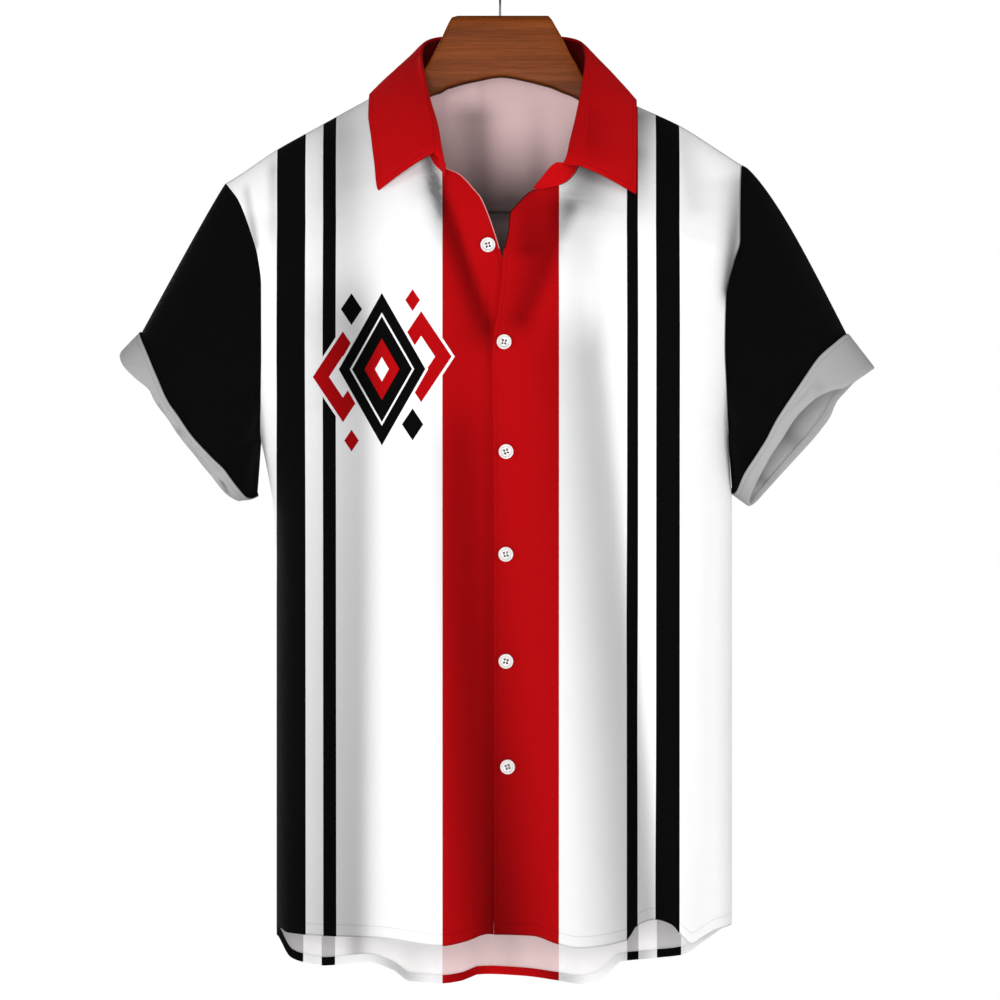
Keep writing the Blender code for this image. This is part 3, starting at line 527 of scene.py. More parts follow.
def hang(node, points, outward, face, reverse, slot, held="hung", closed=False, thick=CLOTH, **marks):
    """A grid of points as a thin piece of cloth that stands for one solid of the frame.

    outward is 1 where the rows and columns of the grid turn out of the garment, and otherwise -1. marks
    are numbers kept at each point for the print, the stitches and the painted shade.
    """
    ring = np.concatenate([points, points[:, :1]], axis=1) if closed else points
    first = np.mgrid[: len(ring) - 1, : ring.shape[1] - 1].reshape(2, -1, 1)
    row, column = first + CORNERS[::outward].T[:, None, :]
    squares = row * points.shape[1] + column % points.shape[1]
    mesh = bpy.data.meshes.new(f"{node}_cloth")
    mesh.from_pydata((points.reshape(-1, 3) * MM).tolist(), [], squares.tolist())
    threads = np.stack([lengths(ring, 1)[row, column], lengths(ring, 0)[row, column]], axis=-1) * MM
    mesh.uv_layers.new(name="weave").data.foreach_set("uv", threads.ravel())
    for name, values in marks.items():
        held_values = np.broadcast_to(values, points.shape[:2]).astype(np.float32)
        mesh.attributes.new(name, "FLOAT", "POINT").data.foreach_set("value", held_values.ravel())
    piece = show(f"{node}_cloth", mesh)
    coat(piece, face, reverse)
    thickness = piece.modifiers.new("thickness", "SOLIDIFY")
    thickness.thickness, thickness.offset = thick * MM, 0
    thickness.material_offset, thickness.material_offset_rim = 1, 0
    apply_all(piece)
    finish_piece(piece, [node], SHARP)


# %% [markdown]
# ## Painting with nodes
#
# The print, the weave and the stitches are worked out by nodes, so they stay sharp at any distance. Each
# cloth piece carries its own weave map, whose units are metres along and across the threads, and a few
# numbers for each point: how far it is from the middle of the print, from an edge and from a hem, and the
# share of light that its folds take away, which the nodes paint into the colour as shade. A painted
# picture would be simpler, but it would blur close up and could not be changed.

# %% Small helpers for nodes
def begin(name):
    """A material, its node tree and its shader."""
    material = bpy.data.materials.new(name)
    material.use_nodes = True
    tree = material.node_tree
    return material, tree, tree.nodes["Principled BSDF"]


def feed(tree, value, socket):
    """Joins a node's output to a socket, or sets the socket where the value is a plain number."""
    if isinstance(value, bpy.types.NodeSocket):
        tree.links.new(value, socket)
    else:
        socket.default_value = value


def give(tree, node, inputs):
    """Joins or sets a node's inputs, each by its name or number."""
    for name, value in dict(inputs).items():
        feed(tree, value, node.inputs[name])


def add(tree, kind, inputs=(), **settings):
    """A new node with its settings and inputs."""
    made = tree.nodes.new(kind)
    for name, value in settings.items():
        setattr(made, name, value)
    give(tree, made, inputs)
    return made


def maths(tree, operation, *values):
    """The result of one step of arithmetic."""
    return add(tree, "ShaderNodeMath", enumerate(values), operation=operation).outputs[0]


def times(tree, *values):
    """The product of two numbers."""
    return maths(tree, "MULTIPLY", *values)


def far_from(tree, value, middle):
    """How far a number is from another, on either side."""
    return maths(tree, "ABSOLUTE", maths(tree, "SUBTRACT", value, middle))


def mark(tree, name):
    """A number that the cloth carries at each point."""
    return add(tree, "ShaderNodeAttribute", attribute_name=name).outputs["Fac"]


def place_on(tree):
    """Where a point is in the piece's own space, in metres."""
    return add(tree, "ShaderNodeTexCoord").outputs["Object"]


def noise(tree, vector, scale, detail=2.0, roughness=0.5):
    """A soft random pattern between 0 and 1."""
    inputs = {"Vector": vector, "Scale": scale, "Detail": detail, "Roughness": roughness}
    return add(tree, "ShaderNodeTexNoise", inputs).outputs["Fac"]


def remap(tree, value, low, high, to_low, to_high):
    """A number between low and high, carried over to another range and held inside it."""
    return add(tree, "ShaderNodeMapRange", enumerate((value, low, high, to_low, to_high))).outputs[0]


# %% Small helpers for colours
NO_LIGHT = (0.0, 0.0, 0.0, 1.0)


def colour(value):
    """A colour in the four numbers that a socket takes."""
    return (*value, 1.0)


def mix_colours(tree, share, first, second, blend="MIX"):
    """A share of the second colour over the first."""
    inputs = {"Factor": share, 6: first, 7: second}
    return add(tree, "ShaderNodeMix", inputs, data_type="RGBA", blend_type=blend).outputs[2]


def toned(tree, base, tone):
    """A colour times a number."""
    grey = add(tree, "ShaderNodeCombineColor", enumerate([tone] * 3)).outputs[0]
    return mix_colours(tree, 1.0, base, grey, "MULTIPLY")


# %% Weave and relief
THREAD_PITCH = 0.00055


def woven(tree):
    """The over and under of plain weave, and the piece's own weave map, whole and in two parts."""
    where = add(tree, "ShaderNodeUVMap", uv_map="weave").outputs["UV"]
    apart = add(tree, "ShaderNodeSeparateXYZ", {0: where}).outputs
    waves = [maths(tree, "SINE", times(tree, apart[way], 2 * np.pi / THREAD_PITCH)) for way in "XY"]
    return times(tree, *waves), where, {"u": apart["X"], "v": apart["Y"]}


def bump(tree, height, distance, strength, below=None):
    """Relief from a height, on top of the relief below it."""
    inputs = {"Height": height, "Distance": distance, "Strength": strength}
    if below is not None:
        inputs["Normal"] = below
    return add(tree, "ShaderNodeBump", inputs).outputs["Normal"]


# %% Rows of stitches
# A stitch fills this share of its pitch (m). Its thread is full inside the first width, gone at the
# second, and lies in a dimple (mm), and it keeps this share of the cloth's own colour.
STITCH_PITCH, STITCH_SHARE = 0.0026, 0.74
THREAD_FULL, THREAD_GONE, DIMPLE = 0.22, 0.42, 1.6
THREAD_TONE, THREAD_RISE = 0.8, 0.7
SEWN_HEIGHT, SEWN_STRENGTH = 0.0004, 0.6
# Painted shade: a folded edge is darker for its last millimetre.
FOLD_EDGE, FOLD_EDGE_SHADE_TONE = 1.2, 0.6


def stitch_row(tree, off, run):
    """1 on the thread of a row of stitches, off mm away from its line and run metres along it."""
    thread = remap(tree, off, THREAD_FULL, THREAD_GONE, 1.0, 0.0)
    step = maths(tree, "FRACT", maths(tree, "DIVIDE", run, STITCH_PITCH))
    return times(tree, thread, maths(tree, "LESS_THAN", step, STITCH_SHARE))


def join_masks(tree, masks):
    """The strongest of several masks at each point."""
    total, *others = masks
    for other in others:
        total = maths(tree, "MAXIMUM", total, other)
    return total


def stitched(tree, rows, runs, base, normal):
    """The colour and the relief with rows of stitches, and with painted shade along the fold at the edge.
    """
    offs = [far_from(tree, mark(tree, edge), at) for edge, at, _ in rows]
    threads = join_masks(tree, [stitch_row(tree, off, runs[row[2]]) for off, row in zip(offs, rows)])
    dimples = join_masks(tree, [remap(tree, off, 0.0, DIMPLE, 1.0, 0.0) for off in offs])
    base = mix_colours(tree, threads, base, mix_colours(tree, THREAD_TONE, NO_LIGHT, base))
    # Painted shade along the folded edge.
    folded = remap(tree, mark(tree, rows[0][0]), 0.0, FOLD_EDGE, FOLD_EDGE_SHADE_TONE, 1.0)
    base = mix_colours(tree, folded, NO_LIGHT, base)
    relief = maths(tree, "SUBTRACT", times(tree, threads, THREAD_RISE), dimples)
    return base, bump(tree, relief, SEWN_HEIGHT, SEWN_STRENGTH, normal)


# %% A woven cloth
SLUB_SCALE, CLOUD_SCALE, CREASE_SCALE = 900.0, 14.0, 42.0
TONE_SPREAD = 0.05
CREASE_HEIGHT, CREASE_STRENGTH = 0.0022, 0.3
WEAVE_HEIGHT, WEAVE_STRENGTH = 0.00012, 0.5


def dress(name, paint, rows=(), shade="shade", rough=0.85):
    """A woven cloth. paint(tree) gives its colour, and rows are (mark, distance in mm, run) of stitches.

    shade names the mark for the painted shade: the share of light that the depth of a fold takes away.
    """
    material, tree, shader = begin(name)
    weave, where, runs = woven(tree)
    place = place_on(tree)
    slub, cloudy = noise(tree, where, SLUB_SCALE, 1.0), noise(tree, place, CLOUD_SCALE, 3.0)
    spots = maths(tree, "ADD", times(tree, slub, TONE_SPREAD), times(tree, cloudy, TONE_SPREAD))
    tone = maths(tree, "ADD", spots, 1.0 - TONE_SPREAD)
    # Painted shade: the colour keeps only the share of light that the folds leave.
    lit = maths(tree, "SUBTRACT", 1.0, mark(tree, shade))
    base = toned(tree, paint(tree), times(tree, tone, lit))
    creased = noise(tree, place, CREASE_SCALE, 4.0, 0.55)
    normal = bump(tree, creased, CREASE_HEIGHT, CREASE_STRENGTH)
    normal = bump(tree, weave, WEAVE_HEIGHT, WEAVE_STRENGTH, normal)
    if rows:
        base, normal = stitched(tree, rows, runs, base, normal)
    finish = {
        "Base Color": base, "Normal": normal, "Roughness": rough, "Specular IOR Level": 0.022,
        "Sheen Weight": 0.01, "Sheen Roughness": 0.45,
    }
    give(tree, shader, finish)
    return material


# %% [markdown]
# ## The print
#
# The stripes are printed on the cloth before it is cut, so one list of edges serves the fronts, the back
# and the yoke. Each edge is a comparison with how far a point is from the middle of the shirt: past it,
# the next ink takes over. A colour ramp with hard steps would do the same with one node, but its steps
# are only as fine as the ramp's own table, and these edges have to be sharp. The same list with faded
# colours makes the reverse, where the ink only shows through. On the chest sits a badge of plain
# interlocking diamonds. A point is inside one where its distances from the middle, across and down, add
# up to less than the diamond's own half width and half height allow.

# %% Stripes
WHITE, BLACK, RED = (0.86, 0.86, 0.87), (0.0022, 0.0022, 0.0023), (0.4, 0.0025, 0.004)
WHITE_BACK, BLACK_BACK, RED_BACK = (0.9, 0.89, 0.89), (0.5, 0.49, 0.5), (0.76, 0.57, 0.57)
STRIPES = [
    # x at which it begins, its ink
    (-184.9, "black"), (-159.2, "white"), (-144.6, "black"), (-133.9, "white"), (-46.8, "red"),
    (47.95, "white"), (103.4, "black"), (112.4, "white"), (127.3, "black"), (146.8, "white"),
]
INKS = {"white": WHITE, "black": BLACK, "red": RED}
FADED = {"white": WHITE_BACK, "black": BLACK_BACK, "red": RED_BACK}


def striped(inks):
    """Paints the upright stripes in the given inks."""

    def paint(tree):
        x = mark(tree, "print_x")
        base = colour(inks["white"])
        for begins, ink in STRIPES:
            base = mix_colours(tree, maths(tree, "GREATER_THAN", x, begins), base, colour(inks[ink]))
        return base

    return paint


def plain(ink):
    """Paints one even colour."""

    def paint(tree):
        base = add(tree, "ShaderNodeRGB").outputs[0]
        base.default_value = colour(ink)
        return base

    return paint


print("edges in the print:", len(STRIPES))

# %% The badge
BADGE = [
    # x, down, half its width, half its height, ink
    (-128.0, 366.0, 27.3, 41.0, "white"), (-128.0, 366.0, 24.7, 37.0, "red"),
    (-64.0, 350.0, 27.3, 41.0, "white"), (-64.0, 350.0, 24.7, 37.0, "red"),
    (-128.0, 366.0, 11.3, 17.0, "white"), (-64.0, 350.0, 11.3, 17.0, "white"),
    (-96.0, 360.0, 37.7, 66.0, "white"), (-96.0, 360.0, 35.4, 62.0, "black"),
    (-96.0, 360.0, 26.3, 46.0, "white"), (-96.0, 360.0, 24.6, 43.0, "black"),
    (-96.0, 360.0, 14.3, 25.0, "red"), (-96.0, 360.0, 5.7, 10.0, "white"),
    (-121.0, 311.0, 8.7, 13.0, "black"), (-71.0, 405.0, 8.7, 13.0, "black"),
    (-121.0, 418.0, 6.0, 9.0, "red"), (-71.0, 304.0, 6.0, 9.0, "red"),
]


def diamond(tree, places, middles, halves):
    """1 inside a diamond, where the shares of its half width and half height add up to less than 1."""
    shares = [
        maths(tree, "DIVIDE", far_from(tree, place, middle), half)
        for place, middle, half in zip(places, middles, halves)
    ]
    return maths(tree, "LESS_THAN", maths(tree, "ADD", *shares), 1.0)


print("diamonds in the badge:", len(BADGE))

# %% Edges and seams
# A thin line is full up to its first distance from the edge (mm), has faded away at its second, and has
# its third number as a share of its ink. The pale line takes the colour of the cloth's reverse. The dark
# line and the lines along the side and shoulder seams are painted shade.
PALE_LINE, DARK_LINE = (0.45, 0.95, 0.45), (0.9, 1.4, 0.85)
SIDE_LINE, SHOULDER_LINE = (0.5, 1.6, 0.5), (1.3, 2.4, 0.55)
# The line along the open edge of the neck ends at this height.
NECK_EDGE_STOP = 262.0


def edged(tree, base, line, ink):
    """Adds a thin line along the folded open edge of the neck: pale as the cloth's reverse, or dark as
    painted shade.
    """
    rim = remap(tree, mark(tree, "from_edge"), *line, 0.0)
    open_part = maths(tree, "LESS_THAN", mark(tree, "print_down"), NECK_EDGE_STOP)
    return mix_colours(tree, times(tree, rim, open_part), base, colour(ink))


def seamed(tree, base, place, line):
    """Darkens the cloth along a seam with painted shade, where it turns in."""
    return mix_colours(tree, remap(tree, mark(tree, place), *line, 0.0), base, colour(BLACK))


def striped_with_badge(tree):
    """Paints the left front: the stripes, the badge over them, the pale line at its open edge and painted
    shade along its shoulder seam.
    """
    base = striped(INKS)(tree)
    places = mark(tree, "print_x"), mark(tree, "print_down")
    for x, down, half_width, half_height, ink in BADGE:
        inside = diamond(tree, places, (x, down), (half_width, half_height))
        base = mix_colours(tree, inside, base, colour(INKS[ink]))
    base = edged(tree, base, PALE_LINE, RED_BACK)
    return seamed(tree, base, "from_shoulder", SHOULDER_LINE)


def striped_with_shaded_edges(tree):
    """Paints the right front: the stripes, and painted shade along its open edge and its seams."""
    base = edged(tree, striped(INKS)(tree), DARK_LINE, BLACK)
    base = seamed(tree, base, "from_shoulder", SHOULDER_LINE)
    return seamed(tree, base, "to_side", SIDE_LINE)


# %% The cloths
# The yoke's reverse is pink like RED_BACK, and is painted paler than it to stand in for light inside the
# neck.
YOKE_BACK_LIT, CUFF_GREY = (0.97, 0.705, 0.71), (0.37, 0.365, 0.365)
COLLAR_RED = (0.475, 0.0028, 0.0045)
HEM_ROW, EDGE_ROW = ("from_hem", 9.0, "u"), ("from_edge", 3.0, "v")
YOKE_ROW, SLEEVE_ROW = ("from_hem", 4.0, "u"), ("from_seam", 4.0, "u")
CUFF_ROW, COLLAR_ROW = ("from_edge", 3.5, "u"), ("from_edge", 5.0, "u")
INSIDE = {"shade": "shade_inside", "rough": 0.9}

chest_cloth = dress("striped_cloth_badge", striped_with_badge, [HEM_ROW, EDGE_ROW])
front_cloth = dress("striped_cloth", striped_with_shaded_edges, [HEM_ROW, EDGE_ROW])
back_cloth = dress("striped_cloth_back", striped(INKS), [HEM_ROW])
yoke_cloth = dress("striped_cloth_yoke", striped(INKS), [YOKE_ROW])
faded_cloth = dress("striped_cloth_reverse", striped(FADED), **INSIDE)
yoke_reverse = dress("yoke_cloth_reverse", plain(YOKE_BACK_LIT), **INSIDE)
black_cloth = dress("black_cloth", plain(BLACK), [SLEEVE_ROW])
black_reverse = dress("black_cloth_reverse", plain(BLACK_BACK), **INSIDE)
cuff_cloth = dress("grey_reverse_cuff", plain(CUFF_GREY), [CUFF_ROW], rough=0.9)
red_cloth = dress("red_cloth", plain(COLLAR_RED), [COLLAR_ROW])
print("cloths mixed:", len(bpy.data.materials))

# %% [markdown]
# ## The two fronts
#
# Each front is one panel from the shoulder to the hem. Its rows are close together round the neck, where
# the edge bends sharply, and even below. Its hem is folded up inside by a centimetre, so its lower edge is
# soft and thick and the inside shows a band of printed cloth. The left front passes under the right one
# and so lies a little further back. A flat plane pressed onto the form by a Shrinkwrap modifier would be
# quicker, but its edges would not lie on the seams.

# %% Fronts
GRAIN, NECK_GRAIN = 3.6, 2.4
HEM_WIDTH, BACK_HEM_WIDTH = 10.0, 6.5


def even(low, high, step):
    """Evenly spaced numbers from low to high, about a step apart."""
    return np.linspace(low, high, max(2, int(round((high - low) / step)) + 1))


def front_rows(opening, seam_down):
    """The shares of the way down at which a front's rows lie, close together at both ends."""
    neck_end = opening["down"][-2]
    shoulder = seam_down + np.array([0, 0.8, 1.6, 3, 5, 8])
    neck = even(seam_down + 10.5, neck_end, NECK_GRAIN)
    body = even(neck_end + GRAIN, HEM_CORNER - 9, GRAIN)
    hem = HEM_CORNER - np.array([6, 3.5, 1.5, 0])
    return (np.concatenate([shoulder, neck, body, hem]) - seam_down) / (HEM_CORNER - seam_down)


def front_points(side):
    """A front's grid, from its opening to its side seam."""
    opening_x, opening, side_x, seam = SIDES[side]
    start = opening["down"][0]
    points = panel(
        "front", opening_x, side_x, lambda x: ridge(x) + SEAM, front_hem,
        (start, seam["down"][0]), (HEM_CORNER, HEM_CORNER),
        np.concatenate([[0, 0.006], even(0.014, 1, 1 / 72)]), front_rows(opening, start + SEAM),
    )
    return sunk(points) if side == "left" else points


# %% The numbers that the print reads
# The print is eased a little at the shoulders and drawn in beside the left armhole.
SHOULDER_EASE, EASED_ABOVE = 0.00013, 240.0
drawn_in = curve(table("down by", (384, 2.0), (466, 0.9), (549, 0.0)), "by")
DRAWN_FROM, DRAWN_FULLY = -168.0, -180.0
BACK_STRETCH = 1.037


def front_print(x, down):
    """How far from the middle of the print a point of the fronts is."""
    eased = x * (1 - SHOULDER_EASE * np.maximum(EASED_ABOVE - down, 0))
    share = np.clip((DRAWN_FROM - x) / (DRAWN_FROM - DRAWN_FULLY), 0, 1)
    return eased - share * drawn_in(down)


def body_marks(points, face, hem_rows=HEM_ROWS):
    """The numbers that the print and the stitches of a body panel read."""
    rise, run = lengths(points, 0), lengths(points, 1)
    x, down = points[..., 0], -points[..., 2]
    front = face == "front"
    return {
        "print_x": front_print(x, down) if front else x / BACK_STRETCH,
        "print_down": down,
        "shade": shade_at(x, down, face),
        "shade_inside": 0 if front else shade_at(x, down, "inside"),
        "from_hem": np.abs(rise - rise[len(points) - 1 - hem_rows]),
        "from_shoulder": rise,
        "from_edge": run,
        "to_side": run[:, -1:] - run,
    }


for side, outward, cloth in (("left", 1, chest_cloth), ("right", -1, front_cloth)):
    cut = turned_hem(front_points(side), outward, HEM_WIDTH)
    hang(f"front_{side}", cut, outward, cloth, faded_cloth, "body_cloth", **body_marks(cut, "front"))

# %% [markdown]
# ## The back and the yoke
#
# The back hangs from the yoke, a shaped piece over the shoulders. Both are cut from the same stripes,
# which meet those of the fronts at the shoulders and the sides. Their inner sides show in the neck and
# under the front hem, so they are as carefully finished as the outside. They could be one panel, since
# the seam between them hardly shows, but on a real shirt the yoke carries the weight and its seam is
# where the long folds of the back begin.

# %% Back
def level(down):
    """A straight edge at one height."""
    return lambda x: np.full(np.shape(x), down)


def back_points():
    """The back's grid, from one side seam to the other."""
    along = np.concatenate([[0, 0.001, 0.002, 0.0035], even(0.006, 0.985, 1 / 168), [0.99, 0.995, 1.0]])
    return panel(
        "back", left_x, right_x, level(YOKE_DOWN), back_hem,
        (YOKE_DOWN, YOKE_DOWN), (HEM_CORNER, HEM_CORNER), even(0, 1, 1 / 120), along,
    )


back = turned_hem(back_points(), 1, BACK_HEM_WIDTH)
hang("back", back, 1, back_cloth, faded_cloth, "body_cloth", **body_marks(back, "back"))

# %% Yoke
# How many squares it has across, from the left side seam to the neckline, along that, and to the right.
YOKE_SQUARES = (40, 44, 36)
# Its lower edge covers the back's upper one by this much.
YOKE_LAP = 0.1


def yoke_top(x):
    """The shoulder seams, and between them the neckline at the back."""
    inside = (x > BACK_NECK["x"][0]) & (x < BACK_NECK["x"][-1])
    return np.where(inside, back_neck(x), ridge(x)) + SEAM


def yoke_points():
    """The yoke's grid, with columns at both ends of the neckline."""
    ends = [(LEFT_SIDE, 0), (BACK_NECK, 0), (BACK_NECK, -1), (RIGHT_SIDE, 0)]
    stops = [angle_at(line["x"][end], line["down"][end]) for line, end in ends]
    runs = [np.linspace(a, b, n, endpoint=False) for a, b, n in zip(stops, stops[1:], YOKE_SQUARES)]
    across = (np.concatenate([*runs, stops[-1:]]) - stops[0]) / (stops[-1] - stops[0])
    shoulder, seam = [0, 0.006, 0.013, 0.025, 0.04, 0.07], [0.98, 0.988, 0.994, 1.0]
    return panel(
        "back", left_x, right_x, yoke_top, level(YOKE_DOWN + YOKE_LAP),
        (LEFT_SIDE["down"][0], RIGHT_SIDE["down"][0]), (YOKE_DOWN, YOKE_DOWN),
        across, np.concatenate([shoulder, even(0.1, 0.965, 1 / 28), seam]),
    )


yoke = yoke_points()
hang("yoke", yoke, 1, yoke_cloth, yoke_reverse, "body_cloth", **body_marks(yoke, "back", 0))

# %% [markdown]
# ## Sleeves and cuffs
#
# A sleeve is a tube from the armhole to the arm's opening. Its rings change smoothly from the seam's
# shape to a flattened oval, and a few troughs run down it. The cuff is the sleeve's hem turned back on
# the outside: it starts just inside the opening, rolls round the edge and climbs the outside, with the
# pale reverse of the cloth showing. Seen from the front, neither end of a cuff is straight, so each of its
# two rings is bowed a little, by an amount that is given round the sleeve. A cylinder shaped by a
# lattice would come close, but it wouldn't meet the armhole, and its cuff wouldn't roll.

# %% The cuffs' rings
# Where the cuff's upper edge and its fold lie: the ring's top and lowest points and its depth.
RING_COLUMNS = "top_x top_down low_x low_down depth"
CUFF_RINGS = {
    "left": table(RING_COLUMNS, (-297, 328, -202, 462, 42), (-315, 346, -217, 466, 38)),
    "right": table(RING_COLUMNS, (288, 330, 193.5, 460, 44), (309.5, 357.5, 207, 470, 42)),
}


def bow(*rows):
    """How far a ring stands out (mm), as a smooth function of the turn round the sleeve in degrees."""
    return curve(table("turn out", *rows), "out")


# How far each of the two stands out from the straight line between those points.
RING_BOWS = {
    "left": (
        bow(
            (0, 0), (36, 4.3), (58, 9), (80, 14), (96, 13.8), (115, 11), (129, 8.8), (159, 8),
            (172, 5), (180, 0), (225, -3), (270, -6), (315, -3), (360, 0),
        ),
        bow(
            (0, -4.5), (16, 0), (30, 1.7), (46, 0.2), (61, -2.8), (69, -0.6), (82, 0.8),
            (95, 2), (109, 2), (129, 3.3), (149, 2.8), (163, 0.8), (180, -1), (205, -2), (240, 0),
            (270, -1), (300, -4.5), (325, -2), (345, -1), (360, -4.5),
        ),
    ),
    "right": (
        bow(
            (0, 0), (34, -6), (56, -10.2), (78, -9.4), (98, -8.1), (116, -4.4), (137, -3),
            (165, 1.8), (180, 0), (225, -6), (270, -12), (315, -6), (360, 0),
        ),
        bow(
            (0, -1), (20, -2.5), (36, -5), (52.7, -9.6), (60, -15.5), (73, -21.6), (87, -22.9),
            (103.5, -19.5), (120.5, -15.6), (143, -9.9), (163, -4.7), (180, -1), (209, 2), (235, 2.3),
            (267, 2.7), (286, 1.2), (302, -4.4), (320, -4.5), (340, -2.5), (360, -1),
        ),
    ),
}


def cuff_ring(side, row, turn):
    """A flattened ring from the top of the arm to the underarm: row 0 at the cuff's top, 1 at its fold."""
    ring = rows_of(CUFF_RINGS[side])[row]
    top, low = (np.array([ring[f"{end}_x"], 0, -ring[f"{end}_down"]]) for end in ("top", "low"))
    axis = top - low
    away = unit(np.array([axis[2], 0, -axis[0]]))
    away *= np.sign(away[0] * ring["top_x"])
    middle = (top + low) / 2 + 0.5 * axis * np.cos(turn)[:, None]
    depth = np.array([0, -1, 0]) * ring["depth"] * np.sin(turn)[:, None]
    return middle + depth + away * RING_BOWS[side][row](np.degrees(turn))[:, None]


def armhole_ring(side, turn):
    """The armhole seam from the top of the shoulder down the front and up the back."""
    _, _, edge, seam = SIDES[side]
    top = seam["down"][0] + SEAM
    down = (top + ARMPIT_DOWN) / 2 - (ARMPIT_DOWN - top) / 2 * np.cos(turn)
    x = edge(down)
    front, back_depth = depth_at(x, down, "front"), depth_at(x, down, "back")
    return np.stack([x, np.where(turn <= np.pi, -front, back_depth), -down], axis=-1)


# %% Sleeve rings
SLEEVE_SIDES, SLEEVE_ROWS, CUFF_ROWS = 128, 44, 9
TURN = np.linspace(0, 2 * np.pi, SLEEVE_SIDES, endpoint=False)
# A sleeve fills out to the front and back, by a share of its depth. Its top stands up (mm) outwards and
# upwards, most of all before the middle. The seam holds its folds flat over the first share of its length.
SLEEVE_FULLNESS = 0.12
SLEEVE_ROUND, ROUND_WAY, ROUND_SKEW = {"left": 1.0, "right": 7.0}, (0.85, 0.53), 0.6
HELD_AT_SEAM = 0.12


def even_folds(*rows):
    """Folds that keep one width and one depth from end to end."""
    return table(FOLD_COLUMNS, *((*ends, *[width] * 4, *[deep] * 2) for *ends, width, deep in rows))


# Where each trough starts and ends, round the sleeve (degrees from the top, over the front) and along
# it (0 at the armhole, 1 at the cuff), how wide it is in degrees, and how deep.
SLEEVE_FOLDS = {
    "left": even_folds(
        (128, 0.0, 84, 0.9, 9, 2.6), (150, 0.1, 128, 1.0, 8, 2.2), (58, 0.0, 64, 0.55, 8, 1.8),
        (236, 0.0, 262, 1.0, 10, 3.0), (206, 0.1, 214, 1.0, 9, 2.4), (300, 0.0, 292, 0.8, 9, 2.0),
    ),
    "right": even_folds(
        (122, 0.0, 92, 0.8, 9, 2.6), (148, 0.05, 120, 1.0, 8, 2.4), (48, 0.0, 58, 0.6, 8, 1.8),
        (232, 0.0, 258, 1.0, 10, 3.0), (208, 0.1, 220, 1.0, 9, 2.4), (304, 0.0, 288, 0.8, 9, 2.0),
    ),
}


def sleeve_grid(side, outward):
    """The sleeve's rings from the armhole to the fold of its cuff."""
    start, cuff_top, fold = armhole_ring(side, TURN), cuff_ring(side, 0, TURN), cuff_ring(side, 1, TURN)
    upper = np.clip(np.cos(TURN), 0, 1)[:, None]
    away = np.array([outward * ROUND_WAY[0], 0, ROUND_WAY[1]])
    rings = []
    for share in np.linspace(0, 1, SLEEVE_ROWS):
        ring = start + (cuff_top - start) * share
        ring[:, 1] *= 1 + SLEEVE_FULLNESS * np.sin(np.pi * share)
        ring += away * upper * SLEEVE_ROUND[side] * np.sin(np.pi * share**ROUND_SKEW)
        ring[:, 0] += outward * 2 * SEAM * (1 - share)
        rings.append(ring)
    rings += [cuff_top + (fold - cuff_top) * share for share in np.linspace(0, 1, CUFF_ROWS + 1)[1:]]
    points = np.array(rings)
    shares = np.concatenate([np.linspace(0, 1, SLEEVE_ROWS), np.ones(CUFF_ROWS)])[:, None]
    depth = fold_depth(np.degrees(TURN)[None, :], shares, SLEEVE_FOLDS[side])
    depth *= np.clip(shares / HELD_AT_SEAM, 0, 1)
    return points - grid_normals(points, closed=True) * outward * depth[..., None]


# %% Shade in the sleeves and on the cuffs
# Painted shade inside a sleeve: the light fades over this depth (mm), and two folds are darker (degrees
# round it).
DARK_DEPTH, DARK_FOLDS, DARK_FOLD_WIDTH = 45.0, (225, 262), 6
# How much darker it is at the cuff, how much more deep inside, and how much more in those folds.
DARK_AT_CUFF, DARK_INSIDE, DARK_IN_FOLDS = 0.1, 0.55, 0.22
# Painted shade of the short folds that the cuff shows: x, down, how long and how wide each is, and how
# dark.
CUFF_FOLD_SHADES = {
    "left": (
        (-280, 390.5, 4.5, 2.0, 0.3), (-263.5, 410, 4.5, 1.8, 0.32), (-250, 428, 15, 2.0, 0.16),
        (-228.5, 453, 4.5, 1.0, 0.75), (-226, 458.5, 3.5, 0.9, 0.6),
    ),
    "right": ((262, 374, 5, 6, 0.12), (247, 384, 14, 1.3, 0.16)),
}


def sleeve_shade(grid):
    """The painted shade inside: how much darker it gets with its distance from the cuff and in its folds.
    """
    rise = lengths(grid, 0)
    depth = np.clip((rise[-1] - rise) / DARK_DEPTH, 0, 1)
    folds = sum(np.exp(-(((np.degrees(TURN) - at) / DARK_FOLD_WIDTH) ** 2)) for at in DARK_FOLDS)
    return np.clip(DARK_AT_CUFF + DARK_INSIDE * depth + DARK_IN_FOLDS * folds[None, :], 0, SHADE_LIMIT)


def cuff_shade(grid, side):
    """Painted shade of the small folds on the front of a cuff, each a soft dark spot drawn out along the
    cuff.
    """
    shade = np.zeros(grid.shape[:2])
    fold = rows_of(CUFF_RINGS[side])[1]
    along = unit(np.array([fold["low_x"] - fold["top_x"], fold["low_down"] - fold["top_down"]]))
    for x, down, long, wide, dark in CUFF_FOLD_SHADES[side]:
        dx, dz = grid[..., 0] - x, -grid[..., 2] - down
        run, off = dx * along[0] + dz * along[1], dx * along[1] - dz * along[0]
        shade += dark * np.exp(-((run / long) ** 2) - (off / wide) ** 2) * (grid[..., 1] < 0)
    return np.clip(shade, 0, SHADE_LIMIT)


# %% Sewing the sleeves and turning the cuffs
CUFF_LIFT = 1.7
# The rows round a cuff's fold: off the cloth as a share of that lift, and out past the edge in mm.
CUFF_ROLL = ((0.75, 0.9), (0.2, 1.3))
# The rows inside the opening: how far under the cloth and past the edge, in mm.
CUFF_TUCK, TUCK_DEPTH = (0.6, 0.9), 1.0
NO_SEAM_NEAR = 99.0


